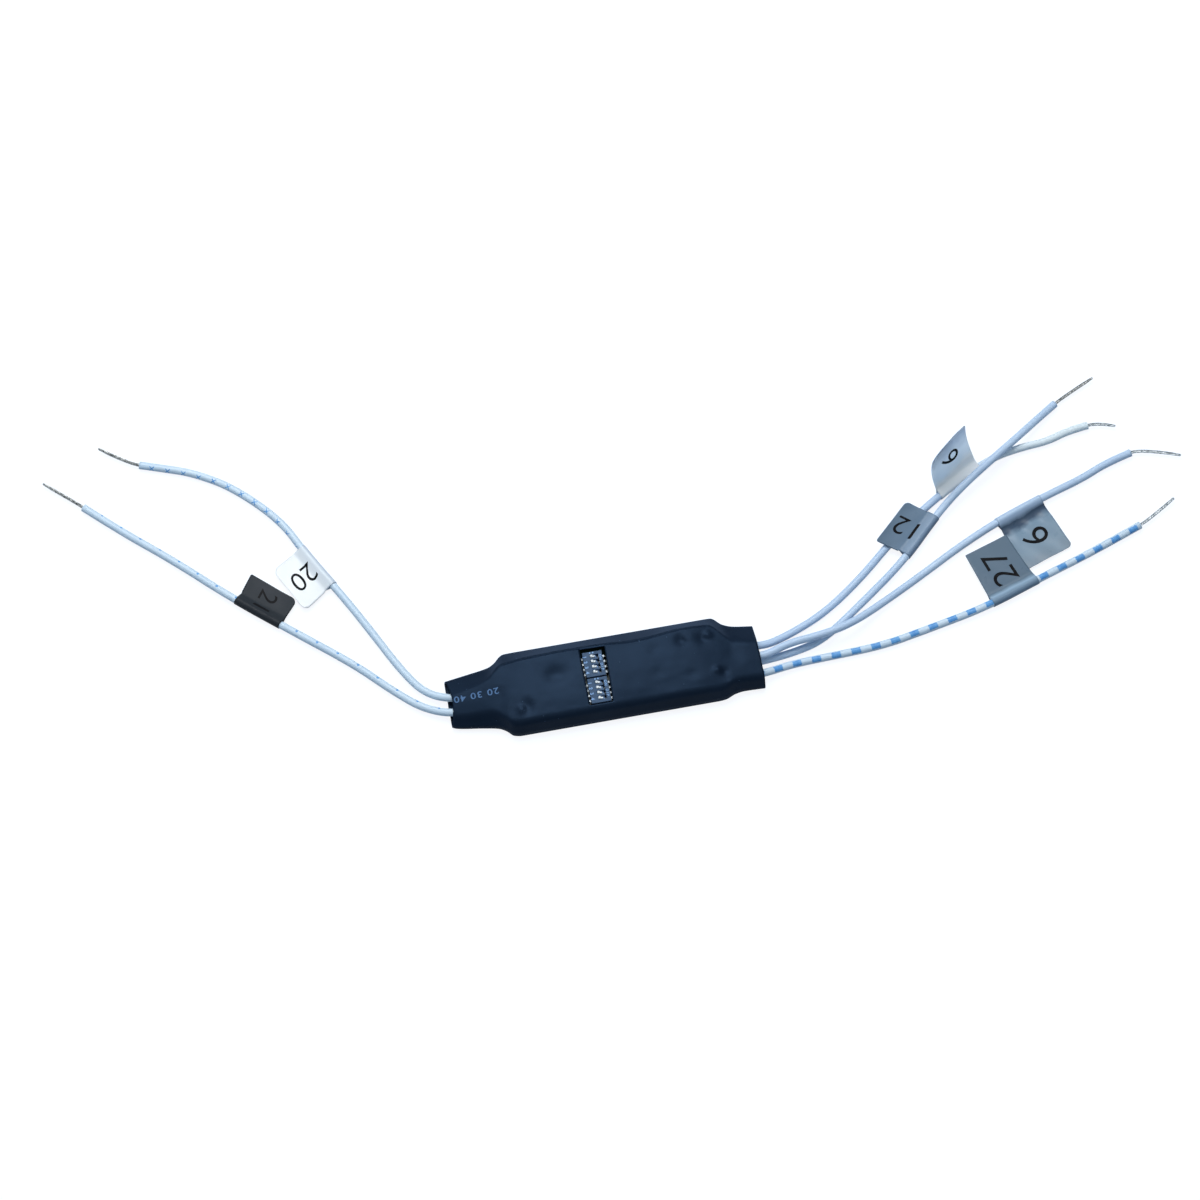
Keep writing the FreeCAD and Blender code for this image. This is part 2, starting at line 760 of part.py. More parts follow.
def tube(name, points, diameter):
    """A round tube swept along a route, with its length and volume compared."""
    path, radii = lead_route(points)
    spine = doc.addObject("Part::Feature", f"{name}_route")
    spine.Shape = path
    ring = doc.addObject("Part::Circle", f"{name}_ring")
    bind(ring, "Radius", diameter / 2)
    heading = FreeCAD.Vector(*points[1]) - FreeCAD.Vector(*points[0])
    ring.Placement = FreeCAD.Placement(
        FreeCAD.Vector(*points[0]), FreeCAD.Rotation(FreeCAD.Vector(0, 0, 1), heading)
    )
    sweep = doc.addObject("Part::Sweep", name)
    sweep.Sections = [ring]
    sweep.Spine = (spine, [f"Edge{index + 1}" for index in range(len(path.Edges))])
    sweep.Solid = True
    sweep.Transition = "Transformed"
    routes_made.append((name, path.Length, radii, sweep, diameter.number))
    return sweep


def board_joint(name, points):
    """The lead's inner end: a bare tail, and the solder that holds it on the board."""
    start = FreeCAD.Vector(*points[0])
    heading = (start - FreeCAD.Vector(*points[1])).normalize()
    tail = doc.addObject("Part::Cylinder", f"{name}_tail")
    bind(tail, "Radius", size["conductor_diameter"] / 2)
    bind(tail, "Height", size["tail_length"])
    turn = FreeCAD.Rotation(FreeCAD.Vector(0, 0, 1), heading)
    tail.Placement = FreeCAD.Placement(start, turn)
    dome = doc.addObject("Part::Sphere", f"{name}_dome")
    bind(dome, "Radius", size["solder_radius"])
    dome.Angle1 = 0
    reach = size["tail_length"] - size["solder_radius"] / 3
    bind(dome, "Placement.Base.x", start.x + heading.x * reach)
    bind(dome, "Placement.Base.y", start.y + heading.y * reach)
    bind(dome, "Placement.Base.z", board_top)
    solder = doc.addObject("Part::Cut", f"{name}_solder")
    solder.Base = dome
    solder.Tool = tail
    return tail, solder


def back_from_end(points, distance):
    """The place on a route this far back from its end, and the route's heading there."""
    spots = [FreeCAD.Vector(*point) for point in reversed(points)]
    for after, before in zip(spots, spots[1:]):
        run = after - before
        if distance <= run.Length:
            break
        distance -= run.Length
    heading = FreeCAD.Vector(run).normalize()
    return after - heading * distance, heading


def label(name, points, place):
    """A strip of tape folded over the lead, its two halves stuck together as a tail."""
    from_end, side, reach, tilt, curl = place
    spot, heading = back_from_end(points, from_end)
    body = doc.addObject("PartDesign::Body", name)
    sketch = sketch_on(body, f"{name}Profile", "YZ_Plane")
    thick = size["tape_thickness"]
    bore = wire_radius + size["label_clearance"]
    ring = bore + thick
    foot = (ring * ring - thick * thick).root()
    angle = reach / curl
    centre = FreeCAD.Vector(foot.number, curl, 0)
    normal = FreeCAD.Vector(0, 0, 1)
    nip = math.asin(thick.number / ring.number)
    loop = sketch.addGeometry(
        Part.ArcOfCircle(Part.Circle(FreeCAD.Vector(), normal, ring.number), nip, 2 * math.pi - nip),
        False,
    )
    lower, upper = (
        sketch.addGeometry(
            Part.ArcOfCircle(
                Part.Circle(centre, normal, curl + sign * thick.number),
                -math.pi / 2,
                -math.pi / 2 + angle,
            ),
            False,
        )
        for sign in (1, -1)
    )
    direction = FreeCAD.Vector(math.sin(angle), -math.cos(angle), 0)
    tip = sketch.addGeometry(
        Part.LineSegment(
            centre + direction * (curl + thick.number), centre + direction * (curl - thick.number)
        ),
        False,
    )
    hole = sketch.addGeometry(Part.Circle(FreeCAD.Vector(), normal, bore.number), False)
    for first, first_end, second, second_end in (
        (loop, 3, -1, 1),
        (hole, 3, -1, 1),
        (upper, 3, lower, 3),
        (loop, 2, lower, 1),
        (lower, 2, tip, 1),
        (tip, 2, upper, 2),
        (upper, 1, loop, 1),
    ):
        sketch.addConstraint(
            Sketcher.Constraint("Coincident", first, first_end, second, second_end)
        )
    sketch.addConstraint(Sketcher.Constraint("PointOnObject", lower, 3, tip))
    dimension(sketch, "Radius", "loop", ring, loop)
    dimension(sketch, "Radius", "bore", bore, hole)
    dimension(sketch, "DistanceX", "foot", foot, -1, 1, lower, 3)
    dimension(sketch, "DistanceY", "curl", measure(curl), -1, 1, lower, 3)
    dimension(sketch, "Radius", "outside", curl + thick, lower)
    dimension(sketch, "Radius", "inside", curl - thick, upper)
    sketch.addConstraint(Sketcher.Constraint("Angle", tip, math.pi / 2 + angle))
    flag = pad(body, sketch, size["tape_width"], symmetric=True)
    doc.recompute()
    ends = [
        f"Edge{index + 1}"
        for index, edge in enumerate(flag.Shape.Edges)
        if abs(edge.Length - 2 * thick.number) < 0.02
        and abs(abs(edge.CenterOfMass.x) - size["tape_width"].number / 2) < 0.01
        and edge.CenterOfMass.y > ring.number
    ]
    rounding = body.newObject("PartDesign::Fillet", f"{name}Corners")
    rounding.Base = (flag, ends)
    bind(rounding, "Radius", size["label_corner"])
    axis = heading * side
    up = FreeCAD.Vector(0, 0, 1)
    across = up.cross(axis).normalize()
    upright = axis.cross(across)
    facing = FreeCAD.Rotation(axis, across, upright, "XYZ")
    body.Placement = FreeCAD.Placement(
        spot, facing.multiply(FreeCAD.Rotation(FreeCAD.Vector(1, 0, 0), tilt))
    )
    return body


routes_made = []
node(sleeve())
node(board())
for letter, sign in (("a", 1), ("b", -1)):
    switch_y = size["switch_place_y"] + sign * size["switch_spacing"] / 2
    switch(f"switch_{letter}", (switch_x, switch_y))
package(
    "microcontroller",
    (board_middle + size["controller_place_x"], measure(0)),
    size["controller_length"],
    size["controller_width"],
    size["controller_height"],
    size["way_pitch"],
    size["controller_ways"],
    size["package_lead_width"],
)
package(
    "regulator",
    (board_middle + size["regulator_place_x"], size["regulator_place_y"]),
    size["regulator_length"],
    size["regulator_width"],
    size["regulator_height"],
    size["regulator_pitch"],
    3,
    size["package_lead_width"],
)
package(
    "bridge_rectifier",
    (board_middle + size["rectifier_place_x"], size["rectifier_place_y"]),
    size["rectifier_length"],
    size["rectifier_width"],
    size["rectifier_height"],
    size["rectifier_pitch"],
    2,
    size["package_lead_width"],
)
storage_capacitor()
resonator_place = (board_middle + size["resonator_place_x"], size["resonator_place_y"])
resonator_extent = (size["resonator_length"], size["resonator_width"], size["resonator_height"])
node(box("resonator", resonator_place, board_top, resonator_extent))
node(chips("chip_resistors", RESISTOR_PLACES, size["resistor_height"]))
node(chips("chip_capacitors", CERAMIC_PLACES, size["ceramic_height"]))
tails = []
joints = []
for name, points in ROUTES.items():
    node(tube(f"wire_{name}", points, size["wire_diameter"]))
    end = FreeCAD.Vector(*points[-1])
    heading = (end - FreeCAD.Vector(*points[-2])).normalize()
    knee = end + heading * size["tip_straight"].number
    node(tube(f"wire_{name}_tip", [end, knee, TIPS[name]], size["conductor_diameter"]))
    tail, solder = board_joint(name, points)
    tails.append(tail)
    joints.append(solder)
    node(label(f"wire_{name}_label", points, LABELS[name]))
node(group("wire_tails", tails))
node(group("solder_joints", joints))

doc.recompute()
for item in doc.Objects:
    if "Invalid" in item.State or "Error" in item.State:
        raise RuntimeError(f"{item.Label} was not built: {item.State}")
for item in nodes:
    if item.Shape.isNull() or not item.Shape.isValid() or not item.Shape.Solids:
        raise RuntimeError(f"{item.Label} has no valid shape")
for name, length, radii, sweep, diameter in routes_made:
    expected = math.pi * diameter * diameter / 4 * length
    share = sweep.Shape.Volume / expected
    print(f"{name}: {length:.1f} mm, least radius {min(radii):.1f} mm, volume {share:.4f} of it")

os.makedirs("parts", exist_ok=True)
for item in nodes:
    item.Shape.exportStep(f"parts/{item.Label}.step")
print(len(nodes), "pieces written")
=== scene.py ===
import bmesh
import bpy
import math
from mathutils import Matrix, Vector, noise


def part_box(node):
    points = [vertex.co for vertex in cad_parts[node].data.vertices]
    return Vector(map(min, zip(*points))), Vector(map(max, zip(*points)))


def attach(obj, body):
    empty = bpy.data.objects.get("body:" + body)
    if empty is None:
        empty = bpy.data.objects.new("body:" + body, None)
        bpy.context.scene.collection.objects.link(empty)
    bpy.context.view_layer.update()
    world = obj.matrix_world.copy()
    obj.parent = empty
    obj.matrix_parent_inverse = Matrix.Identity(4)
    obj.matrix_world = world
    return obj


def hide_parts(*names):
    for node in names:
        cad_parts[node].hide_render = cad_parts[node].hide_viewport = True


# Alarm expansion module: a black heat-shrink sleeve with a window over two slide switches, and
# six white leads with folded labels and bare twisted tips. Lengths are millimetres until a mesh
# or a curve is made from them.

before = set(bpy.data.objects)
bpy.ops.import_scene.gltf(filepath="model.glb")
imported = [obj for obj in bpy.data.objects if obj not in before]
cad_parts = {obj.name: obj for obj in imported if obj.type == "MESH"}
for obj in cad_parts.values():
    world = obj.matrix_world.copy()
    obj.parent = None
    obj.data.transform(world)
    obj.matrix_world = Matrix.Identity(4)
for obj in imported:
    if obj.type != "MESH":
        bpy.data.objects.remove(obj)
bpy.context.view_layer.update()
MM = 0.001
UP = Vector((0, 0, 1))
# Half the sleeve's length
HALF = 35.45

# Control points of the leads
ROUTES = {
    "left_far": [
        (-20, 2.4, 4), (-26.5, 1.9, 3.3), (-33.2, 1.1, 2.1), (-39.4, 4.3, 1.4), (-43.3, 11.4, 1),
        (-48.6, 21.6, 1), (-54, 30.4, 1.3), (-60.9, 43.9, 1.4), (-66, 52.5, 1.1), (-75.8, 62.7, 1),
        (-83.8, 68.8, 1), (-90.2, 71.2, 1), (-95.9, 73.2, 1),
    ],
    "left_near": [
        (-20, -1.2, 4), (-26.6, -1.6, 3.3), (-33.6, -2.4, 2.1), (-40.6, 0.3, 1.4), (-47, 6.2, 1),
        (-54.5, 14.2, 1), (-66.6, 24.4, 1.3), (-79.6, 36.2, 1.4), (-91.2, 47.3, 1),
        (-102.5, 56.9, 1), (-110.2, 64.5, 1),
    ],
    "right_back": [
        (25, 3.6, 4), (30.6, 2.4, 3.4), (36.4, 0.9, 2.2), (43.6, 2.8, 1.3), (52.5, 7, 1),
        (62.3, 13.8, 1), (72, 22.2, 1), (84, 30.2, 1.3), (98, 38.4, 1.3), (106.5, 40, 1),
        (113, 40.6, 1), (118.4, 41.9, 1), (123.1, 42.4, 1),
    ],
    "right_far": [
        (25, -2.9, 4), (30.4, -2.9, 3), (36.2, -2.9, 1.5), (43.5, -2.5, 1), (51, 0.2, 1),
        (60.5, 7.2, 1), (73, 16.2, 1.3), (83, 25.4, 1.6), (91, 31.5, 3.2), (105, 40.8, 3.5),
        (112.3, 46.2, 1.5), (117, 49.3, 1),
    ],
    "right_middle": [
        (25, 0.2, 4), (30.2, -0.6, 3.7), (36, -2, 3.3), (42.5, -0.4, 3.3), (49.5, 1, 3.6),
        (57.5, 1.9, 3.4), (66, 5.9, 1.2), (77, 11.3, 1), (86.5, 17, 1), (96.8, 21.7, 1.3),
        (109.5, 26.1, 1.3), (118.5, 29.2, 1), (125, 32.4, 1), (131.2, 33.6, 1),
    ],
    "right_near": [
        (25, -5.9, 4), (30.4, -6, 3.2), (36.4, -5.8, 1.9), (43, -4.4, 1.1), (52.5, -3.7, 1),
        (64, -3.3, 1), (75.5, -1.1, 1), (88.8, 1.8, 1.3), (103.5, 6.5, 1.3), (116.5, 10.3, 1),
        (128.7, 14.9, 1),
    ],
}
# Points that were moved to lie as photographed: their place in the list, and how far
MOVED = {
    "left_far": {
        3: (-0.5, -0.4), 4: (-1.1, -0.6), 5: (-0.8, -0.4), 6: (-0.1, 0), 7: (-0.6, -0.3),
        8: (0.4, 0.3), 9: (0.6, 0.6),
    },
    "left_near": {7: (-0.3, -0.3), 9: (0.2, 0.2), 10: (0.2, 0.2)},
    "right_back": {3: (-0.1, 0.3), 7: (-0.2, 0.3), 8: (0.2, -0.4), 9: (0, -0.3), 10: (0, -0.5)},
    "right_far": {2: (0, 0.7), 3: (-0.2, 1.2), 4: (-0.2, 0.3), 7: (-0.3, 0.4), 8: (-0.3, 0.4)},
    "right_middle": {
        3: (-0.1, 0.7), 4: (0.1, -0.3), 5: (-0.1, 0.4), 6: (-0.4, 0.8), 7: (-0.5, 0.9),
        8: (-0.2, 0.4), 9: (-0.1, 0.3), 10: (-0.1, 0.3), 12: (0.1, -0.3),
    },
    "right_near": {2: (-0.1, 0.5), 3: (-0.1, 0.4), 7: (0.1, -0.3), 9: (-0.1, 0.3), 10: (-0.1, 0.2)},
}
TIPS = {
    "left_far": (-104.9, 79.3, 1),
    "left_near": (-118.6, 72.6, 1),
    "right_back": (129.6, 41, 1),
    "right_far": (127.5, 54.4, 1),
    "right_middle": (142.7, 30.8, 1),
    "right_near": (138.2, 20.4, 1),
}
TIP_STRAIGHT = 2.6
WIRE_RADIUS = 0.9

# Labels: distance back from the insulation's end, side, reach, tilt and curl
LABELS = {
    "left_far": (51.4, 1, 7.3, -3, 70),
    "left_near": (49.2, -1, 6, -4, 60),
    "right_back": (34.4, 1, 12.2, 50, 19),
    "right_far": (48.3, 1, 6.4, 12, 90),
    "right_middle": (31.1, -1, 12.3, -4.5, 120),
    "right_near": (34.3, 1, 11.8, 0.5, 150),
}
# How each tail leans along the lead, widens and twists, and the radii of its free corners
SHAPES = {
    "left_far": (-0.12, 0.07, 0, (1.5, 1.6)),
    "left_near": (-0.086, 0.05, 0, (0.4, 1.3)),
    "right_back": (0, 0, 0.26, (0.3, 0.3)),
    "right_far": (-0.24, 0.03, 0, (0.6, 1)),
    "right_middle": (0.022, 0.075, 0, (1.1, 0.3)),
    "right_near": (0, -0.09, 0, (0.2, 0.2)),
}
# The plain number on each label, its height, and how far its middle lies from the lead
PRINTS = {
    "left_far": ("20", 4.5, 3.9),
    "left_near": ("21", 4.2, 3.3),
    "right_back": ("6", 5.4, 7.4),
    "right_far": ("12", 4.5, 4.2),
    "right_middle": ("6", 6.2, 7.4),
    "right_near": ("27", 6.1, 6.7),
}


# Plain geometry


def smooth(table, x):
    """A value read from a table of (x, value) pairs along a smooth curve without overshoot."""
    if x <= table[0][0]:
        return table[0][1]
    if x >= table[-1][0]:
        return table[-1][1]
    slopes = [(b[1] - a[1]) / (b[0] - a[0]) for a, b in zip(table, table[1:])]
    tangents = [slopes[0]]
    for before, after in zip(slopes, slopes[1:]):
        tangents.append(0 if before * after <= 0 else 2 * before * after / (before + after))
    tangents.append(slopes[-1])
    index = max(i for i, (start, _) in enumerate(table[:-1]) if start <= x)
    (x0, y0), (x1, y1) = table[index], table[index + 1]
    span = x1 - x0
    t = (x - x0) / span
    return (
        (2 * t**3 - 3 * t**2 + 1) * y0
        + (t**3 - 2 * t**2 + t) * span * tangents[index]
        + (3 * t**2 - 2 * t**3) * y1
        + (t**3 - t**2) * span * tangents[index + 1]
    )


def ease(low, high, x):
    """0 below low, 1 above high, and a soft step between them."""
    t = min(1, max(0, (x - low) / (high - low)))
    return t * t * (3 - 2 * t)


def between(low, high, count):
    return [low + (high - low) * i / count for i in range(count + 1)]


def blend(a, b, t):
    """The point t of the way from one point to another."""
    return tuple(p + (q - p) * t for p, q in zip(a, b))


def level(a, b, y):
    """The height over y on the straight line between two (y, z) points."""
    return a[1] + (b[1] - a[1]) * (y - a[0]) / (b[0] - a[0])


def swing(first, second, angle):
    """A direction turned from one towards another at right angles to it."""
    return first * math.cos(angle) + second * math.sin(angle)


def bell(x, middle, width):
    """1 at the middle, falling away smoothly on both sides."""
    return math.exp(-(((x - middle) / width) ** 2))


def placed(name, data, place=(0, 0, 0), aim=None):
    """An object in the scene. A lamp or a camera is turned to look at aim."""
    item = bpy.data.objects.new(name, data)
    item.location = place
    if aim:
        item.rotation_euler = (Vector(aim) - Vector(place)).to_track_quat("-Z", "Y").to_euler()
    bpy.context.scene.collection.objects.link(item)
    return item


def piece(name, points, faces, material, body="module", uvs=None):
    """A smooth-shaded mesh from points in millimetres, riding on a body."""
    mesh = bpy.data.meshes.new(name)
    mesh.from_pydata([Vector(point) * MM for point in points], [], faces)
    mesh.update()
    for face in mesh.polygons:
        face.use_smooth = True
    if uvs:
        layer = mesh.uv_layers.new(name="UVMap")
        for entry, uv in zip(layer.data, uvs):
            entry.uv = uv
    for one in material if isinstance(material, list) else [material]:
        mesh.materials.append(one)
    item = placed(name, mesh)
    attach(item, body)
    return item


def mesh_of(curve):
    """The mesh that a curve makes. The curve itself goes."""
    guide = bpy.data.objects.new(curve.name, curve)
    mesh = bpy.data.meshes.new_from_object(guide)
    bpy.data.objects.remove(guide)
    bpy.data.curves.remove(curve)
    return mesh


def route_line(points, fineness=24):
    """Points along the smooth NURBS line that the control points give."""
    curve = bpy.data.curves.new("route", "CURVE")
    curve.dimensions = "3D"
    curve.resolution_u = fineness
    spline = curve.splines.new("NURBS")
    spline.points.add(len(points) - 1)
    for spot, point in zip(spline.points, points):
        spot.co = (*(point * MM), 1)
    spline.order_u = 3
    spline.use_endpoint_u = True
    mesh = mesh_of(curve)
    line = [vertex.co / MM for vertex in mesh.vertices]
    bpy.data.meshes.remove(mesh)
    return line


class Line:
    """A line of points with its distances and an upright frame at each point."""

    def __init__(self, points):
        self.points = points
        self.along = [0]
        for a, b in zip(points, points[1:]):
            self.along.append(self.along[-1] + (b - a).length)
        self.length = self.along[-1]

    def at(self, distance):
        distance = min(max(distance, 0), self.length)
        index = next(i for i, s in enumerate(self.along[1:]) if s >= distance)
        start, end = self.along[index], self.along[index + 1]
        return self.points[index].lerp(self.points[index + 1], (distance - start) / (end - start))

    def frame(self, index):
        """The heading, the direction to its right, and the direction above it."""
        last = len(self.points) - 1
        heading = (self.points[min(index + 1, last)] - self.points[max(index - 1, 0)]).normalized()
        right = heading.cross(UP).normalized()
        return heading, right, right.cross(heading)

    def nearest(self, spot):
        index = min(range(len(self.points)), key=lambda i: (self.points[i] - spot).length)
        return self.along[index]


def tube_faces(rings, around, first=0):
    """Quads between rings of points, with their numbers round the ring and along it."""
    faces, corners = [], []
    for i in range(rings - 1):
        this, following = first + i * around, first + (i + 1) * around
        for j in range(around):
            k = (j + 1) % around
            faces.append((this + j, this + k, following + k, following + j))
            corners.append(((i, j), (i, j + 1), (i + 1, j + 1), (i + 1, j)))
    return faces, corners


def lying(name):
    """The control points of a lead as it lies."""
    moves = [Vector((*MOVED[name].get(index, (0, 0)), 0)) for index in range(len(ROUTES[name]))]
    return [Vector(point) + move for point, move in zip(ROUTES[name], moves)]


def back_from_end(points, distance):
    """The place on a route this far back from its end, and the route's heading there."""
    spots = [Vector(point) for point in reversed(points)]
    for after, before in zip(spots, spots[1:]):
        run = after - before
        if distance <= run.length:
            break
        distance -= run.length
    heading = run.normalized()
    return after - heading * distance, heading


# Materials


def tone(red, green, blue):
    """A colour of 0 to 255 a channel as the shader's linear one."""
    return (*(((c / 255 + 0.055) / 1.055) ** 2.4 for c in (red, green, blue)), 1)


class Shade:
    """One procedural material."""

    def __init__(self, name, **fixed):
        self.material = bpy.data.materials.new(name)
        self.material.use_nodes = True
        self.tree = self.material.node_tree
        self.shader = self.tree.nodes["Principled BSDF"]
        for socket, value in fixed.items():
            self.shader.inputs[socket.replace("_", " ")].default_value = value
        self.place = self.add("TexCoord").outputs["Object"]

    def add(self, kind, inputs=(), **settings):
        made = self.tree.nodes.new(f"ShaderNode{kind}")
        for key, value in settings.items():
            setattr(made, key, value)
        for key, value in dict(inputs).items():
            if isinstance(value, bpy.types.NodeSocket):
                self.tree.links.new(value, made.inputs[key])
            else:
                made.inputs[key].default_value = value
        return made

    def feed(self, socket, source):
        self.tree.links.new(source, self.shader.inputs[socket])

    def math(self, operation, *values):
        return self.add("Math", dict(enumerate(values)), operation=operation).outputs[0]

    def noise(self, scale, detail):
        inputs = {"Vector": self.place, "Scale": scale, "Detail": detail}
        return self.add("TexNoise", inputs).outputs["Fac"]

    def ramp(self, factor, *stops):
        made = self.add("ValToRGB", {"Fac": factor})
        marks = made.color_ramp.elements
        while len(marks) < len(stops):
            marks.new(0.5)
        for mark, (position, colour) in zip(marks, stops):
            mark.position = position
            mark.color = (*colour[:3], 1)
        return made.outputs["Color"]

    def spread(self, factor, low, high, start=0.3, end=0.7):
        inputs = {
            "Value": factor, "From Min": start, "From Max": end, "To Min": low, "To Max": high,
        }
        return self.add("MapRange", inputs).outputs["Result"]

    def mix(self, factor, first, second):
        inputs = {0: factor, 6: first, 7: second}
        return self.add("Mix", inputs, data_type="RGBA").outputs[2]

    def bump(self, height, strength, distance):
        inputs = {"Height": height, "Strength": strength, "Distance": distance * MM}
        self.feed("Normal", self.add("Bump", inputs).outputs["Normal"])

    def off(self, value, middle, scale=1):
        """How far a value lies from a middle, either way, times a scale."""
        apart = self.math("SUBTRACT", value, middle)
        return self.math("ABSOLUTE", self.math("MULTIPLY", apart, scale))

    def larger(self, *pairs):
        """The larger of two lengths, each as a share of its own limit."""
        return self.math("MAXIMUM", *[self.math("DIVIDE", *pair) for pair in pairs])

    def uv(self):
        """The map's coordinates: X round or across the piece, Y along it or out from it."""
        where = self.add("UVMap", uv_map="UVMap").outputs["UV"]
        return self.add("SeparateXYZ", {0: where}).outputs

    def finish(self, gloss, rough, grain, relief):
        """Uneven gloss and a fine grain. gloss and grain are noises: scale and detail."""
        self.feed("Roughness", self.spread(self.noise(*gloss), *rough))
        self.bump(self.noise(*grain), *relief)
        return self.material


def grained(name, dark, light, scale, rough, bump=0.15, depth=0.02, grain=6, **fixed):
    """A moulded, cast or plated surface: mottled colour, uneven gloss and a fine grain."""
    shade = Shade(name, **fixed)
    mottle = shade.noise(scale, 5)
    shade.feed("Base Color", shade.ramp(mottle, (0.32, dark), (0.68, light)))
    return shade.finish((scale * 0.6, 4), rough, (scale * grain, 2), (bump, depth))


def film_material(name, dark, light, rough):
    """Shrunk film, dusty and duller on its walls: a mottled blue painted sheen on its upper faces,
    near black on its walls.
    """
    shade = Shade(
        name, Specular_IOR_Level=0.27, Specular_Tint=(0.42, 0.66, 1, 1), Coat_Weight=1,
        Coat_IOR=1.02, Coat_Tint=(0.76, 0.87, 1, 1),
    )
    facing = shade.add("SeparateXYZ", {0: shade.add("NewGeometry").outputs["Normal"]}).outputs["Z"]
    dust_and_sheen = shade.ramp(shade.noise(260, 4), (0.3, dark), (0.7, light))
    # Painted sheen: faces that look up take the lighter blue, the walls stay nearly black
    painted_sheen = shade.mix(shade.spread(facing, 0, 1, 0.25, 0.75), (0.001, 0.0012, 0.0016, 1), dust_and_sheen)
    specks = shade.math("GREATER_THAN", shade.noise(1900, 0), 0.87)
    shade.feed("Base Color", shade.mix(specks, painted_sheen, (0.05, 0.075, 0.11, 1)))
    dull = shade.spread(facing, 0.38, 0, 0.1, 0.8)
    gloss = shade.spread(shade.noise(90, 3), *rough)
    shade.feed("Roughness", shade.math("ADD", gloss, dull))
    shade.bump(shade.noise(4200, 3), 0.1, 0.02)
    return shade.material


def insulation_material(name, cool, white, mark=None, period=1):
    """Extruded vinyl, cool white. mark is the blue ink on it (dash, cross or dot), or a painted
    highlight that whitens it towards its bare end.
    """
    shade = Shade(name, Specular_IOR_Level=0.5)
    cloud = shade.noise(110, 1)
    if mark == "lit_end":
        # Whiter towards the bare end, a painted highlight where that end lies in the light: the UV
        # runs with the distance from it
        cloud = shade.spread(shade.uv()["Y"], 1, 0, 14, 21)
    colour = shade.ramp(cloud, (0.3, cool), (0.72, white))
    if mark in ("dash", "cross", "dot"):
        # How far a place lies from the mark's middle, in millimetres: along the lead and round it
        where = shade.uv()
        along = shade.off(shade.math("FRACT", where["Y"]), 0.5, period)
        round_it = shade.off(where["X"], 0.5, 2 * math.pi * WIRE_RADIUS)
        # The mark's edge is where reach is 1
        if mark == "dash":
            reach = shade.larger((along, 1.1), (round_it, 0.75))
        elif mark == "cross":
            reach = shade.larger((shade.off(along, round_it), 0.17), (along, 0.52))
        else:
            squares = [shade.math("POWER", part, 2) for part in (along, round_it)]
            reach = shade.math("DIVIDE", shade.math("SQRT", shade.math("ADD", *squares)), 0.3)
        worn = shade.math("ADD", reach, shade.spread(shade.noise(2600, 2), -0.09, 0.09))
        ink = shade.ramp(shade.noise(900, 3), (0.3, tone(78, 148, 218)), (0.7, tone(110, 176, 232)))
        colour = shade.mix(shade.spread(worn, 1, 0, 0.9, 1.1), colour, ink)
    shade.feed("Base Color", colour)
    return shade.finish((200, 1), (0.38, 0.43), (600, 1), (0.05, 0.01))


def strand_material(name, dark, light):
    """Tinned copper strands, duller where the tin is thin."""
    shade = Shade(name, Metallic=1)
    patches = shade.noise(1800, 4)
    shade.feed("Base Color", shade.ramp(patches, (0.35, dark), (0.62, light)))
    return shade.finish((2600, 3), (0.24, 0.5), (5200, 2), (0.3, 0.02))


def label_material(name, *stops, gloss=0.3, rough=(0.26, 0.38), metal=0):
    """Satin tape: its colour, with painted highlight and shade, by the distance from the fold, with
    clouds and fine pores.
    """
    shade = Shade(name, Specular_IOR_Level=gloss, Coat_Weight=gloss / 3, Coat_Roughness=0.16)
    clouds = shade.spread(shade.noise(170, 4), -1, 1)
    out = shade.uv()["Y"]
    weight = shade.spread(out, 0.012, 0.1, 0.2, 0.5)
    slope = shade.math("ADD", out, shade.math("MULTIPLY", clouds, weight))
    shade.feed("Base Color", shade.ramp(slope, *[(at, tone(*colour)) for at, colour in stops]))
    if metal:
        shade.feed("Metallic", shade.spread(out, 0, metal, 0.3, 0.42))
    return shade.finish((300, 3), rough, (800, 3), (0.05, 0.02))


def ink_material(name, dark, light):
    """Printed ink, a little thin in places."""
    shade = Shade(name, Specular_IOR_Level=0.1)
    shade.feed("Base Color", shade.ramp(shade.noise(1700, 4), (0.3, dark), (0.75, light)))
    return shade.finish((900, 2), (0.5, 0.7), (3500, 2), (0.1, 0.01))


film = film_material("film", (0.0058, 0.0102, 0.018), (0.0072, 0.0125, 0.0218), (0.4, 0.48))
# A lighter copy of the film for its cut edges: a painted highlight along the window's and the
# mouths' edges
cut_film_highlight = film_material("film_cut_highlight", (0.022, 0.036, 0.06), (0.03, 0.05, 0.08), (0.4, 0.5))
# Two copies of one white vinyl: the whiter is painted light for the leads that catch the lamps
# most, the bluer painted shade for the leads that turn from them
LIT_VINYL = ((0.61, 0.76, 0.9), (0.66, 0.8, 0.92))
SHADED_VINYL = ((0.52, 0.67, 0.87), (0.57, 0.72, 0.9))
insulation = {
    "left_far": insulation_material("vinyl_crosses", *LIT_VINYL, "cross", 3.75),
    "left_near": insulation_material("vinyl_dots", *LIT_VINYL, "dot", 5.45),
    "right_near": insulation_material("vinyl_dashes", *LIT_VINYL, "dash", 4.77),
    "right_back": insulation_material(
        "vinyl_lit_end", SHADED_VINYL[0], (0.8, 0.9, 0.95), "lit_end"
    ),
}
plain_vinyl = insulation_material("vinyl_plain", *SHADED_VINYL)
dull_tin = strand_material("strands_dull", (0.2, 0.21, 0.21), (0.6, 0.6, 0.58))
bright_tin = strand_material("strands_bright", (0.34, 0.38, 0.4), (0.8, 0.83, 0.84))
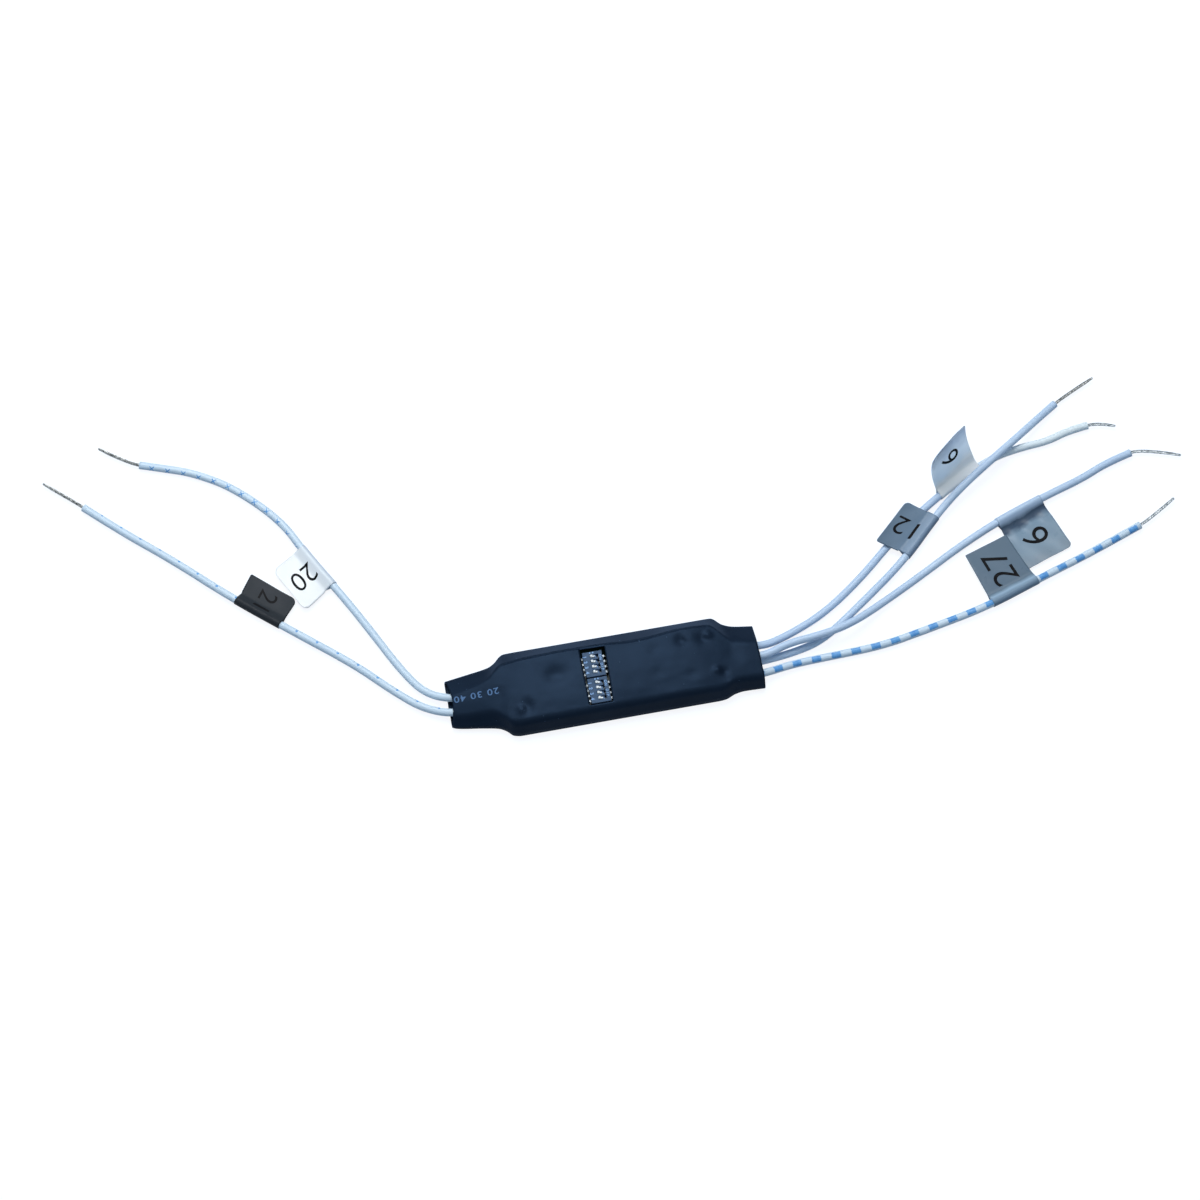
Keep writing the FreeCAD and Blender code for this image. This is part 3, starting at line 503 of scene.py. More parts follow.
# Colours of each label, with painted highlight and shade, from the far side of the lead (0)
# over the fold (0.3) to the free end (1)
tape = {
    # The blue-grey at the lead's far side is painted shade
    "left_far": label_material(
        "tape_white", (0, (176, 192, 212)), (0.12, (228, 236, 243)), (0.3, (242, 246, 249)),
        (0.6, (247, 249, 250)), (1, (248, 250, 251)),
    ),
    "left_near": label_material(
        "tape_dark", (0, (42, 46, 51)), (0.3, (49, 54, 59)), (1, (53, 57, 63)), gloss=0.1,
        rough=(0.45, 0.6),
    ),
    "right_back": label_material(
        "tape_pale", (0, (226, 238, 246)), (0.16, (253, 254, 252)), (0.36, (253, 254, 252)),
        (0.44, (236, 246, 252)), (0.66, (226, 240, 250)), (1, (168, 186, 206)), metal=0.6,
        rough=(0.3, 0.4),
    ),
    "right_far": label_material(
        "tape_blue_grey", (0, (90, 110, 134)), (0.14, (134, 156, 180)), (0.3, (116, 138, 160)),
        (0.6, (118, 138, 158)), (1, (106, 126, 146)), gloss=0.2,
    ),
    # The bright band over the fold and the dark band below it are painted highlight and painted
    # shadow
    "right_middle": label_material(
        "tape_silver", (0, (130, 152, 180)), (0.03, (188, 210, 236)), (0.1, (188, 210, 234)),
        (0.19, (150, 172, 198)), (0.26, (58, 76, 96)), (0.34, (66, 84, 106)),
        (0.46, (134, 157, 176)), (0.8, (138, 158, 174)), (1, (136, 151, 164)),
    ),
    "right_near": label_material(
        "tape_grey", (0, (104, 126, 148)), (0.13, (124, 148, 170)), (0.2, (156, 182, 204)),
        (0.29, (102, 121, 138)), (0.5, (103, 122, 139)), (1, (105, 124, 140)), gloss=0.2,
    ),
}
black_ink = ink_material("ink_black", (0.004, 0.004, 0.005), (0.012, 0.012, 0.014))
pale_ink = ink_material("ink_pale", tone(76, 108, 150), tone(98, 132, 174))
blue_ink = ink_material("ink_blue", tone(128, 166, 216), tone(160, 196, 236))


# Leads, their bare tips and their labels

# The radius of one strand, how far it winds from the tip's axis, and the length of one turn
STRAND_RADIUS = 0.132
STRAND_LAY = 0.258
STRAND_TURN = 3.6
# Where the ink faces (degrees round the lead, 90 on top), by distance from the lead's end
MARK_TURNS = {
    "left_far": [
        (0, 142), (10, 146), (15, 142), (18, 122), (22, 110), (32, 106), (37, 128), (41, 155),
        (44.5, 172), (50, 215), (60, 260), (112, 270),
    ],
    "left_near": [(0, 40), (16, 55), (22, 50), (34, 75), (57, 78), (80, 68), (95, 52), (116, 45)],
    "right_near": [(0, 62), (6, 66), (16, 72), (26, 84), (41, 92), (60, 86), (84, 72), (107, 80)],
}


def mark_count(name, from_end):
    """How many marks lie between this place and the lead's end, half a mark at a mark's middle."""
    if name == "right_near":
        # Dashes that come a little closer together towards the sleeve
        n = (from_end - 2.1) / 4.93
        for _ in range(3):
            n = (from_end - 2.1 + 0.0095 * n * n) / 4.93
        return n + 10.5
    start, period = {"left_far": (3, 3.77), "left_near": (5.1, 5.45)}.get(name, (0, 4))
    return (from_end - start) / period + 10.5


def lead(name):
    """The insulation of one lead: a slightly uneven tube with a ragged, hollowed end."""
    line = Line(route_line(lying(name)))
    around = 28
    turns = MARK_TURNS.get(name, [(0, 90), (120, 90)])
    seed = Vector((len(name) * 3.1, ord(name[-1]) * 0.7, ord(name[0])))
    rings = []
    for index, point in enumerate(line.points):
        from_end = line.length - line.along[index]
        radius = WIRE_RADIUS - 0.012 + 0.02 * noise.noise(seed + Vector((from_end / 3.5, 0, 0)))
        radius += 0.03 * ease(0.55, 0.1, from_end) if from_end < 0.6 else 0
        rings.append((index, point, radius, 0, from_end))
    last, end = len(line.points) - 1, line.points[-1]
    for radius, step in ((0.8, 0.05), (0.62, 0), (0.5, -0.16), (0.3, -0.3)):
        rings.append((last, end, radius, step, 0))
    points, tracks = [], []
    for index, point, radius, step, from_end in rings:
        heading, right, above = line.frame(index)
        turn = math.radians(smooth(turns, from_end))
        ragged = ease(0.5, 0, from_end) if from_end < 0.5 else 0
        for j in range(around):
            out = swing(right, above, turn + math.pi - 2 * math.pi * j / around)
            wobble = 0.13 * ragged * noise.noise(seed + out * 2.2)
            points.append(point + out * radius + heading * (step + wobble))
        tracks.append(mark_count(name, from_end))
    faces, corners = tube_faces(len(rings), around)
    uvs = [(j / around, tracks[i]) for quad in corners for i, j in quad]
    first = len(points)
    points += [line.points[0], end - line.frame(last)[0] * 0.3]
    base = (len(rings) - 1) * around
    for j in range(around):
        k = (j + 1) % around
        faces += [(first, k, j), (first + 1, base + j, base + k)]
        uvs += [(0, tracks[0])] * 3 + [(0, tracks[-1])] * 3
    item = piece(
        f"lead_{name}", points, faces, insulation.get(name, plain_vinyl), uvs=uvs
    )
    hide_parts(f"wire_{name}")
    return item, line


def strands(name, line):
    """Seven twisted strands, which part a little at the cut end."""
    before, end = lying(name)[-2:]
    knee = end + (end - before).normalized() * TIP_STRAIGHT
    control = [end, knee, Vector(TIPS[name])]
    tip = Line(route_line(control, 60))
    seed = Vector((ord(name[0]), len(name) * 2.3, 5))
    around = 10
    points, faces = [], []
    for strand in range(7):
        first = len(points)
        cut = 0 if strand == 0 else 0.55 * abs(noise.noise(seed + Vector((strand * 1.7, 0, 0))))
        rows = [i for i, s in enumerate(tip.along) if s <= tip.length - cut]
        for i in rows:
            heading, right, above = tip.frame(i)
            s = tip.along[i]
            loose = ease(tip.length - 3, tip.length, s)
            twist = 2 * math.pi * (strand / 6 + s / STRAND_TURN)
            lay = 0 if strand == 0 else STRAND_LAY - 0.09 * loose
            wander = 0.05 * loose * noise.noise(seed + Vector((strand * 3.1, s, 0)))
            centre = tip.points[i] + swing(right, above, twist) * (lay + wander)
            taper = 0.15 * ease(tip.length - cut - 0.4, tip.length - cut, s)
            radius = STRAND_RADIUS * (1 - taper)
            for j in range(around):
                points.append(centre + swing(right, above, -2 * math.pi * j / around) * radius)
        quads, _ = tube_faces(len(rows), around, first)
        faces += quads
        faces.append(tuple(first + j for j in reversed(range(around))))
        faces.append(tuple(first + (len(rows) - 1) * around + j for j in range(around)))
    metal = dull_tin if name in ("left_far", "left_near", "right_far") else bright_tin
    item = piece(f"strands_{name}", points, faces, metal)
    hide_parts(f"wire_{name}_tip")
    return item


# Half the width of the tape, its thickness, and half the distance between the middles of a
# tail's two layers
TAPE_HALF = 6
TAPE_THICKNESS = 0.08
LAYER = 0.045
# Where the tail starts, from the lead's middle, and the radius of the fold round the lead
FOOT = 1.2
FOLD_RADIUS = 1
# How far printed numbers lie above the middle of the tape's upper layer, and printed characters
# above a switch's lid
PRINT_LIFT = 0.055
LID_PRINT_LIFT = 0.012
# Slow waves of each tail: height, turns along and across in radians a millimetre, and phase
WAVES = {
    "left_far": [(0.12, 0.35, 0.3, 0.4), (0.05, 0.9, 0.7, 2)],
    "left_near": [(0.1, 0.4, 0.45, 1.9), (0.05, 1, 0.5, 0.3)],
    "right_back": [(0.06, 0.32, 0.2, 2.4), (0.04, 0.8, 0.6, 1)],
    "right_far": [(0.1, 0.45, 0.3, 0.2), (0.05, 0.9, 0.8, 2.6)],
    "right_middle": [(0.14, 0.5, 0.42, 2.2), (0.06, 1.3, 0.6, 0.8)],
    "right_near": [(0.08, 0.3, 0.35, 1.1), (0.04, 0.9, 0.5, 2.9)],
}


def fold_profile():
    """The tape's upper half from the far side of the lead to where its two halves meet."""
    profile = [
        (FOLD_RADIUS * math.cos(math.radians(a)), FOLD_RADIUS * math.sin(math.radians(a)))
        for a in range(180, 57, -8)
    ]
    touch, meet = profile[-1], (FOOT + 0.85, LAYER)
    profile += [blend(touch, meet, t) for t in (0.25, 0.5, 0.75, 1)]
    for _ in range(2):
        inner = [
            ((a[0] + 2 * b[0] + c[0]) / 4, (a[1] + 2 * b[1] + c[1]) / 4)
            for a, b, c in zip(profile, profile[1:], profile[2:])
        ]
        profile = profile[:1] + inner + profile[-1:]
    return [(y, abs(z)) for y, z in profile]


FOLD = fold_profile()


class Flag:
    """A strip of tape folded round a lead, with its two halves stuck together as a tail."""

    def __init__(self, name, line):
        self.name = name
        from_end, side, self.reach, tilt, self.curl = LABELS[name]
        self.skew, self.fan, self.twist, self.corners = SHAPES[name]
        spot, heading = back_from_end(ROUTES[name], from_end)
        self.line, self.side, self.middle = line, side, line.nearest(spot)
        self.axis = heading * side
        turn = Matrix.Rotation(math.radians(tilt), 3, self.axis)
        across = UP.cross(self.axis).normalized()
        self.across = turn @ across
        self.upright = turn @ self.axis.cross(across)
        self.centre = line.at(self.middle)

    def drift(self, w):
        """How far the lead has left the straight axis, w along it."""
        place = self.line.at(self.middle + self.side * w)
        return place - self.centre - self.axis * w

    def wave(self, w, s):
        total = sum(
            height * math.sin(along * w + over * s + phase)
            for height, along, over, phase in WAVES[self.name]
        )
        if self.name == "right_middle":
            # Small crumples beside the fold
            total += 0.16 * bell(s, 2.6, 1.3) * math.sin(1.5 * w + 0.8 * s)
            total += 0.1 * bell(s, 4.4, 1.1) * bell(w, 2, 2.4)
        return total * ease(0.6, 3.5, s)

    def tail(self, w, s, lift):
        """A place on the tail, w along the lead, s out from it and lift over its middle."""
        curl = self.curl * (1 + self.twist * w / TAPE_HALF)
        bend = s / curl
        normal = swing(self.upright, self.across, -bend)
        out = max(0, s)
        return (
            self.centre
            + self.axis * (w * (1 + self.fan * out / self.reach) + self.skew * out)
            + self.across * (FOOT + curl * math.sin(bend))
            + self.upright * (curl * (1 - math.cos(bend)))
            + normal * (lift + self.wave(w, s))
            + self.drift(w) * math.exp(-max(0, s - 0.8) / 3)
        )

    def half_width(self, s, end):
        """How far the tape reaches along the lead, with its free corners rounded."""
        corner = self.corners[end]
        left = self.reach - s
        if left >= corner:
            return TAPE_HALF
        return TAPE_HALF - corner + math.sqrt(max(0, corner**2 - (corner - left) ** 2))

    def over(self, w, y, lift):
        """A place on the upper side, w along the lead and y across from its middle."""
        if y >= FOLD[-1][0]:
            return self.tail(w, y - FOOT, LAYER + lift)
        a, b = next(pair for pair in zip(FOLD, FOLD[1:]) if pair[1][0] >= y)
        return self.folded(w, y, level(a, b, y), lift)

    def folded(self, w, y, z, lift=0):
        rise = self.wave(w, y - FOOT) if y > FOOT + 0.6 else 0
        place = self.centre + self.axis * w + self.drift(w) + self.across * y
        return place + self.upright * (z + rise + lift)

    def build(self):
        spans = Line([Vector(point) for point in FOLD])
        tail_start = FOLD[-1][0]
        slack = [self.reach - self.reach * (1 - t) ** 1.6 for t in between(0, 1, 26)]
        outs = [s for s in slack if s > 1.1]
        rows = [("tail", s, -LAYER) for s in reversed(outs)]
        rows += [("fold", y, -z) for y, z in reversed(FOLD[1:])]
        rows += [("fold", y, z) for y, z in FOLD]
        rows += [("tail", s, LAYER) for s in outs]
        points, values = [], []
        columns = between(-1, 1, 30)
        for kind, first, second in rows:
            for t in columns:
                if kind == "tail":
                    w = t * self.half_width(first, 1 if t > 0 else 0)
                    points.append(self.tail(w, first, second))
                    out = (first + FOOT - tail_start) / (self.reach + FOOT - tail_start)
                    values.append((t / 2 + 0.5, 0.3 + 0.7 * out))
                else:
                    points.append(self.folded(TAPE_HALF * t, first, second))
                    out = spans.along[FOLD.index((first, abs(second)))] / spans.length
                    values.append((t / 2 + 0.5, 0.3 * out))
        faces = []
        width = len(columns)
        for i in range(len(rows) - 1):
            for j in range(width - 1):
                a = i * width + j
                faces.append((a, a + 1, a + width + 1, a + width))
        uvs = [values[index] for face in faces for index in face]
        item = piece(f"label_{self.name}", points, faces, tape[self.name], uvs=uvs)
        solid = item.modifiers.new("Thickness", "SOLIDIFY")
        solid.thickness = TAPE_THICKNESS * MM
        solid.offset = 0
        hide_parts(f"wire_{self.name}_label")
        return item


def lettering(name, words, height, place, material, cell, weight, spacing=1):
    """Plain characters cut into small cells and laid on a surface."""
    curve = bpy.data.curves.new(name, "FONT")
    curve.body = words
    curve.space_character = spacing
    curve.offset = weight
    curve.resolution_u = 5
    mesh = mesh_of(curve)
    low = [min(v.co[k] for v in mesh.vertices) for k in (0, 1)]
    high = [max(v.co[k] for v in mesh.vertices) for k in (0, 1)]
    middle = ((low[0] + high[0]) / 2, (low[1] + high[1]) / 2, 0)
    scale = height / (high[1] - low[1])
    cut = bmesh.new()
    cut.from_mesh(mesh)
    for vertex in cut.verts:
        vertex.co = [(c - m) * scale for c, m in zip(vertex.co, middle)]
    for k in (0, 1):
        count = math.floor((high[k] - low[k]) * scale / 2 / cell)
        normal = Vector((1 - k, k, 0))
        for step in range(-count, count + 1):
            parts = cut.verts[:] + cut.edges[:] + cut.faces[:]
            plane = normal * (step * cell)
            bmesh.ops.bisect_plane(cut, geom=parts, plane_co=plane, plane_no=normal)
    cut.verts.ensure_lookup_table()
    points = [place(vertex.co.x, vertex.co.y) for vertex in cut.verts]
    faces = [tuple(vertex.index for vertex in face.verts) for face in cut.faces]
    cut.free()
    bpy.data.meshes.remove(mesh)
    return piece(name, points, faces, material)


def label_print(flag):
    """A plain number on the label's upper side."""
    words, height, middle = PRINTS[flag.name]
    side = flag.side

    def place(x, y):
        return flag.over(-side * y, middle + side * x, PRINT_LIFT)

    return lettering(f"print_{flag.name}", words, height, place, black_ink, 0.3, -0.004)


for name in ROUTES:
    wire, line = lead(name)
    bare = strands(name, line)
    flag = Flag(name, line)
    folded = flag.build()
    printed = label_print(flag)
    mouth = next(point for point in line.points if abs(point.x) >= HALF)
    [point * MM for point in line.points]


# Heat-shrink sleeve

WINDOW_WEST, WINDOW_EAST = -4.4, 1.05
# The window's near edge, from the sleeve's near side
WINDOW_NEAR = 2.6
# The film's thickness, the height it stays under, and how far its print lies above it
FILM_THICKNESS = 0.42
FILM_TOP = 6
FILM_PRINT_LIFT = 0.03
# The sleeve's outline is six arcs joined by straight runs: the steps in each. The crown starts
# with the last point of the fourth arc.
ARC_STEPS = (5, 5, 6, 5, 24, 6)
RUN_STEPS = (18, 5, 7, 30, 5, 5)
CROWN_FIRST = sum(ARC_STEPS[:4]) + sum(RUN_STEPS[:3])
CROWN_STEPS = 36
CROWN_LAST = CROWN_FIRST + CROWN_STEPS
SLOPE_STEPS = 18
# Rows along the far crease, counted from the crown, and how much of the groove each takes
CREASE_ROWS = ((-4, 0.4), (-3, 0.9), (-2, 1), (-1, 0.6))
# Along X: the far and near edges, the height of the crown and of the edges, and the far crease
FAR_EDGE = [
    (-35.45, 5.95), (-30, 6.55), (-25.3, 7.1), (-23.7, 7.9), (-22.3, 9.2), (-21.3, 9.68),
    (-19, 9.74), (25, 9.74), (26.4, 9.68), (27.2, 9.2), (28, 8.3), (28.9, 7.6), (30.5, 7.05),
    (35.45, 6.5),
]
NEAR_EDGE = [
    (-35.45, -4.85), (-34.6, -5.3), (-28.5, -6.4), (-25.2, -7.1), (-23.6, -8), (-22.1, -9.4),
    (-20.3, -9.74), (24.5, -9.74), (26.2, -9.6), (28.6, -8.7), (30.6, -8.4), (35.45, -8.55),
]
HEIGHT = [
    (-35.45, 3.8), (-28.75, 4.55), (-24.5, 5.15), (-21.4, 5.5), (-15.25, 5.97), (20.25, 5.97),
    (26.4, 5.5), (28.75, 5.35), (31.55, 5.2), (35.45, 4.95),
]
EDGE_HEIGHT = [
    (-35.45, 2.6), (-28.75, 3.1), (-23.95, 3.62), (28.75, 3.62), (31.55, 3.1), (35.45, 2.6),
]
FAR_CREASE = [
    (-35.45, 2.5), (-28.75, 3.5), (-25, 4.6), (-22.8, 5.7), (-17.9, 6.05), (-8.8, 6.35),
    (-4.4, 6.3), (1.3, 6.15), (7, 5.72), (11.7, 5.95), (18.7, 6.6), (25, 6.5), (28, 5),
    (31, 3.7), (35.45, 2.9),
]
# Bumps and dents in the film over what lies under it: x, y, height, and size along x and y
BUMPS = [
    (-10.45, 1.5, -0.5, 2.6, 2.2), (-19.5, -5.2, 0.36, 1, 1), (-18.2, -4.9, -0.34, 1.3, 1.7),
    (20.05, 5.1, 0.42, 0.9, 0.8), (18.6, 4.4, -0.4, 1.3, 1.3), (24.7, 4.7, 0.4, 0.9, 0.8),
    (23.3, 4.1, -0.32, 1.2, 1.2), (25.4, -4, 0.52, 0.85, 0.8), (26.7, -4.5, -0.3, 1, 1),
    (27.9, -7.4, 0.26, 0.8, 0.7), (12, 3.1, -0.15, 1.3, 1.2), (11.9, -2.3, -0.12, 1.5, 1.2),
    (19.4, -4, -0.14, 1.4, 1.1), (6, 1, 0.08, 5, 5), (-27.5, 2.5, 0.12, 2.5, 1.5),
    (29.5, 1, -0.2, 2, 4), (-24, -2, -0.2, 2.2, 3),
]


def spaced(path, count):
    """Evenly spaced points along a path, both its ends included."""
    line = Line([Vector(point) for point in path])
    return [line.at(line.length * k / count) for k in range(count + 1)]


def sleeve_section(x):
    """The outline of the sleeve across X: (y, z) points, counted the same in every section."""
    near, far = smooth(NEAR_EDGE, x), smooth(FAR_EDGE, x)
    height, edge = smooth(HEIGHT, x), smooth(EDGE_HEIGHT, x)
    crease = smooth(FAR_CREASE, x)
    bend = 0.5 + 1.9 * ease(-21.5, -27, x) + 2.8 * ease(25.5, 30.5, x)
    round_over = min(1.9 + 1.1 * ease(-21, -27, x), height - 1.9)
    circles = [
        (near + 1, 1, 1),
        (far - 1, 1, 1),
        (far - 0.9, edge - 0.9, 0.9),
        (crease - bend + 0.8, height - bend, bend),
        (near + 0.6 + round_over, height - round_over, round_over),
        (near + 0.9, edge - 0.9, 0.9),
    ]
    # Where the run from each circle to the next one leaves and arrives
    touches = []
    for (u1, v1, r1), (u2, v2, r2) in zip(circles, circles[1:] + circles[:1]):
        span = math.hypot(u2 - u1, v2 - v1)
        du, dv, lean = (u2 - u1) / span, (v2 - v1) / span, (r1 - r2) / span
        out = math.sqrt(1 - lean * lean)
        nu, nv = du * lean + dv * out, dv * lean - du * out
        touches.append(((u1 + r1 * nu, v1 + r1 * nv), (u2 + r2 * nu, v2 + r2 * nv)))
    outline = []
    for index, (u, v, r) in enumerate(circles):
        arrive, leave = touches[index - 1][1], touches[index][0]
        start = math.atan2(arrive[1] - v, arrive[0] - u)
        end = math.atan2(leave[1] - v, leave[0] - u)
        while end < start:
            end += 2 * math.pi
        arc = between(start, end, ARC_STEPS[index])
        outline += [(u + r * math.cos(a), v + r * math.sin(a)) for a in arc]
        run = RUN_STEPS[index]
        outline += [blend(*touches[index], k / run) for k in range(1, run)]
    # A shallow groove along the far crease
    groove = 0.14 * ease(-25, -21, x) * ease(27, 23.5, x)
    for row, share in CREASE_ROWS:
        y, z = outline[CROWN_FIRST + row]
        outline[CROWN_FIRST + row] = (y, z - groove * share)
    # The crown falls away towards the near side
    depth = 0.6 + 0.5 * ease(-22, -27, x)
    upper = []
    for y, z in outline[CROWN_FIRST:]:
        share = max(0, (2.5 - y) / (2.5 - near))
        upper.append((y, z - depth * share**2 * ease(1, 4.4, z)))
    upper += outline[:1]
    # The crown and the near side are spaced anew, parted at the window's near edge
    border = near + WINDOW_NEAR
    split = next(k for k, (y, _) in enumerate(upper) if y <= border)
    place = (border, level(upper[split - 1], upper[split], border))
    crown = spaced(upper[:split] + [place], CROWN_STEPS)
    slope = spaced([place] + upper[split:], SLOPE_STEPS)
    return outline[:CROWN_FIRST] + [tuple(p) for p in crown + slope[1:-1]]


def sleeve_point(x, y, z):
    """A point of the sleeve's skin with the window's slant, the mouths' cut and the bumps."""
    top = ease(3.2, 5.2, z)
    rise = sum(bell(x, cx, rx) * bell(y, cy, ry) * height for cx, cy, height, rx, ry in BUMPS)
    drawn = 0.07 * noise.noise(Vector((x / 7, y / 3.2, 3)))
    drawn += 0.03 * noise.noise(Vector((x / 2.2, y / 1.6, 9)))
    # The skin is calmer round the window
    calm = 1 - bell(x, -1.7, 4.2)
    z += top * (rise + drawn * (0.3 + 0.7 * calm))
    slant = min(1, max(-1, (y + 0.5) / 6.65))
    x += 0.25 * slant * bell(x, WINDOW_EAST, 3) * ease(4.4, 5.4, z)
    # The left mouth is set back at the top, most in its middle
    lift = min(1, max(0, (z - 0.8) / 2.9))
    middle = max(0, 1 - ((y - 0.6) / 5.5) ** 2)
    x += (0.35 + 0.7 * middle) * lift * math.exp(-((x + HALF) / 2.2)) if x < -20 else 0
    # Hand-cut ends
    x += 0.1 * noise.noise(Vector((y / 2, z / 2, x))) * ease(34, 35.3, abs(x))
    return Vector((min(HALF, max(-HALF, x)), y, min(z, FILM_TOP)))


def sleeve():
    """The film: a tube of sections along X, left open at the window and given its thickness."""
    stations = between(-HALF, WINDOW_WEST, 72)
    west = len(stations) - 1
    stations += between(WINDOW_WEST, WINDOW_EAST, 14)[1:]
    east = len(stations) - 1
    stations += between(WINDOW_EAST, HALF, 80)[1:]
    points = []
    for x in stations:
        points += [sleeve_point(x, y, z) for y, z in sleeve_section(x)]
    around = len(points) // len(stations)
    faces, _ = tube_faces(len(stations), around)
    kept = []
    for index, face in enumerate(faces):
        i, j = divmod(index, around)
        if not (west <= i < east and CROWN_FIRST <= j < CROWN_LAST):
            kept.append(face)
    item = piece("film_sleeve", points, kept, [film, cut_film_highlight])
    solid = item.modifiers.new("Wall", "SOLIDIFY")
    solid.thickness = FILM_THICKNESS * MM
    solid.offset = -1
    # The rim takes the second material, the cut edges' painted highlight
    solid.material_offset_rim = 1
    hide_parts("heat_shrink_sleeve")


def sleeve_top(x, y):
    """The height of the sleeve's skin over a place on its upper side."""
    outline = sleeve_section(x)[CROWN_FIRST - 8 : CROWN_LAST + 9]
    for a, b in zip(outline, outline[1:]):
        if min(a[0], b[0]) <= y <= max(a[0], b[0]) and a[0] != b[0]:
            return level(a, b, y)
    return outline[0][1]


def sleeve_print_place(x, y):
    """A printed point's place on the sleeve's left neck, where the print reads from behind."""
    x, y = -28.9 - 1.22 * x, 0.35 - y
    skin = sleeve_point(x, y, sleeve_top(x, y))
    return Vector((x, y, skin.z + FILM_PRINT_LIFT))


sleeve()
lettering("print_sleeve", "20 30 40", 1.5, sleeve_print_place, pale_ink, 0.4, 0.012, 1.15)


# Slide switches

# From one way of a switch to the next
PITCH = 1.27
switch_blue = grained(
    "switch_blue", (0.045, 0.09, 0.165), (0.06, 0.11, 0.195), 900, (0.42, 0.56),
    bump=0.1, Specular_IOR_Level=0.15,
)
knob_white = grained(
    "knob_white", (0.74, 0.8, 0.82), (0.86, 0.9, 0.91), 1500, (0.28, 0.4), bump=0.1,
    Specular_IOR_Level=0.5,
)
# The sliders' blocks are lighter than the housing: painted light in the slots that the lid shades
lit_slider_blue = grained(
    "slider_lit_blue", (0.2, 0.34, 0.58), (0.26, 0.42, 0.68), 1500, (0.45, 0.6), bump=0.1
)
# Near-black strips for the groove: painted shadow
painted_groove_shadow = grained(
    "painted_groove_shadow", (0.002, 0.004, 0.008), (0.004, 0.008, 0.016), 1500, (0.6, 0.75)
)


def blocks(boxes, segments=3):
    """Blocks with rounded edges in one mesh: its points, its faces and the kind of each face.

    A box is its low and its high corner, the width of its rounded edges and its kind."""
    points, faces, kinds = [], [], []
    for low, high, width, kind in boxes:
        block = bmesh.new()
        bmesh.ops.create_cube(block, size=1)
        middle = (Vector(low) + Vector(high)) / 2
        extent = Vector(high) - Vector(low)
        for vertex in block.verts:
            vertex.co = [m + c * e for m, c, e in zip(middle, vertex.co, extent)]
        bmesh.ops.bevel(
            block, geom=block.edges[:], offset=width, segments=segments, profile=0.5,
            affect="EDGES", clamp_overlap=True,
        )
        first = len(points)
        points += [vertex.co.copy() for vertex in block.verts]
        for face in block.faces:
            faces.append(tuple(first + vertex.index for vertex in face.verts))
            kinds.append(kind)
        block.free()
    return points, faces, kinds


def slider(letter, way):
    """A slider: a blue block under the lid, lighter than the housing as painted light in its shaded
    slot, and a white knob with a high and a low lobe.
    """
    node = f"switch_{letter}_slider_{way}"
    low, high = (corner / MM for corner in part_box(node))
    y = (low.y + high.y) / 2
    left = low.x + 0.3
    boxes = [
        (low, (high.x, high.y, low.z + 0.3), 0.05, 1),
        ((left, y - 0.35, 4.8), (left + 1.15, y + 0.35, 5.12), 0.07, 1),
        ((left + 0.02, y - 0.3, 5), (left + 0.62, y + 0.33, high.z), 0.17, 0),
        ((left + 0.5, y - 0.34, 5), (left + 1.08, y + 0.14, high.z - 0.14), 0.15, 0),
    ]
    points, faces, kinds = blocks(boxes)
    item = piece(f"knob_{letter}_{way}", points, faces, [knob_white, lit_slider_blue], node)
    for face, kind in zip(item.data.polygons, kinds):
        face.material_index = kind
    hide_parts(node)


def discs(name, spots, radius, z, material):
    """Small round printed dots."""
    points, faces = [], []
    for x, y in spots:
        first = len(points)
        for ring in (1, 0.55):
            points += [
                (x + radius * ring * math.cos(a), y + radius * ring * math.sin(a), z)
                for a in (2 * math.pi * k / 18 for k in range(18))
            ]
        quads, _ = tube_faces(2, 18, first)
        faces += quads + [tuple(first + 18 + k for k in range(18))]
    piece(name, points, faces, material)


for letter in "ab":
    low, high = (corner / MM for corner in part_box(f"switch_{letter}_cover"))
    middle = (low + high) / 2

    def lid_print(name, words, height, x, y, weight, spacing=1):
        """Characters on the lid, upright seen from the left end, their middle at x and y."""

        def place(right, up):
            return Vector((middle.x + x + up, middle.y + y - right, high.z + LID_PRINT_LIFT))

        lettering(name, words, height, place, blue_ink, 0.3, weight, spacing)

    for way in range(1, 5):
        slider(letter, way)
        lid_print(f"numeral_{letter}_{way}", str(way), 0.84, -1.8, PITCH * (2.5 - way), 0.035)
    lid_print(f"on_{letter}", "ON", 0.62, 1.71, 1.42, 0.03, 1.25)
    lid_print(f"kind_{letter}", "DIP", 0.62, 1.71, -0.95, 0.02, 1.5)
    # Near-black strips laid in the groove across the lid are painted shadow; they lie only between
    # the slots, so that the knobs can pass
    x, base = middle.x + 1.225, high.z - 0.12
    strips = []
    for y in (middle.y + PITCH * gap for gap in (-1, 0, 1)):
        strips.append(((x - 0.14, y - 0.2, base), (x + 0.14, y + 0.2, base + 0.03), 0.01, 0))
    points, faces, _ = blocks(strips, 1)
    piece(f"groove_{letter}", points, faces, painted_groove_shadow)
    spots = [(middle.x - 0.46, middle.y + 2.76), (middle.x + 0.2, middle.y + 2.74)]
    discs(f"dots_{letter}", spots, 0.18, high.z + LID_PRINT_LIFT, blue_ink)


# Finishes of the pieces that keep their own shape

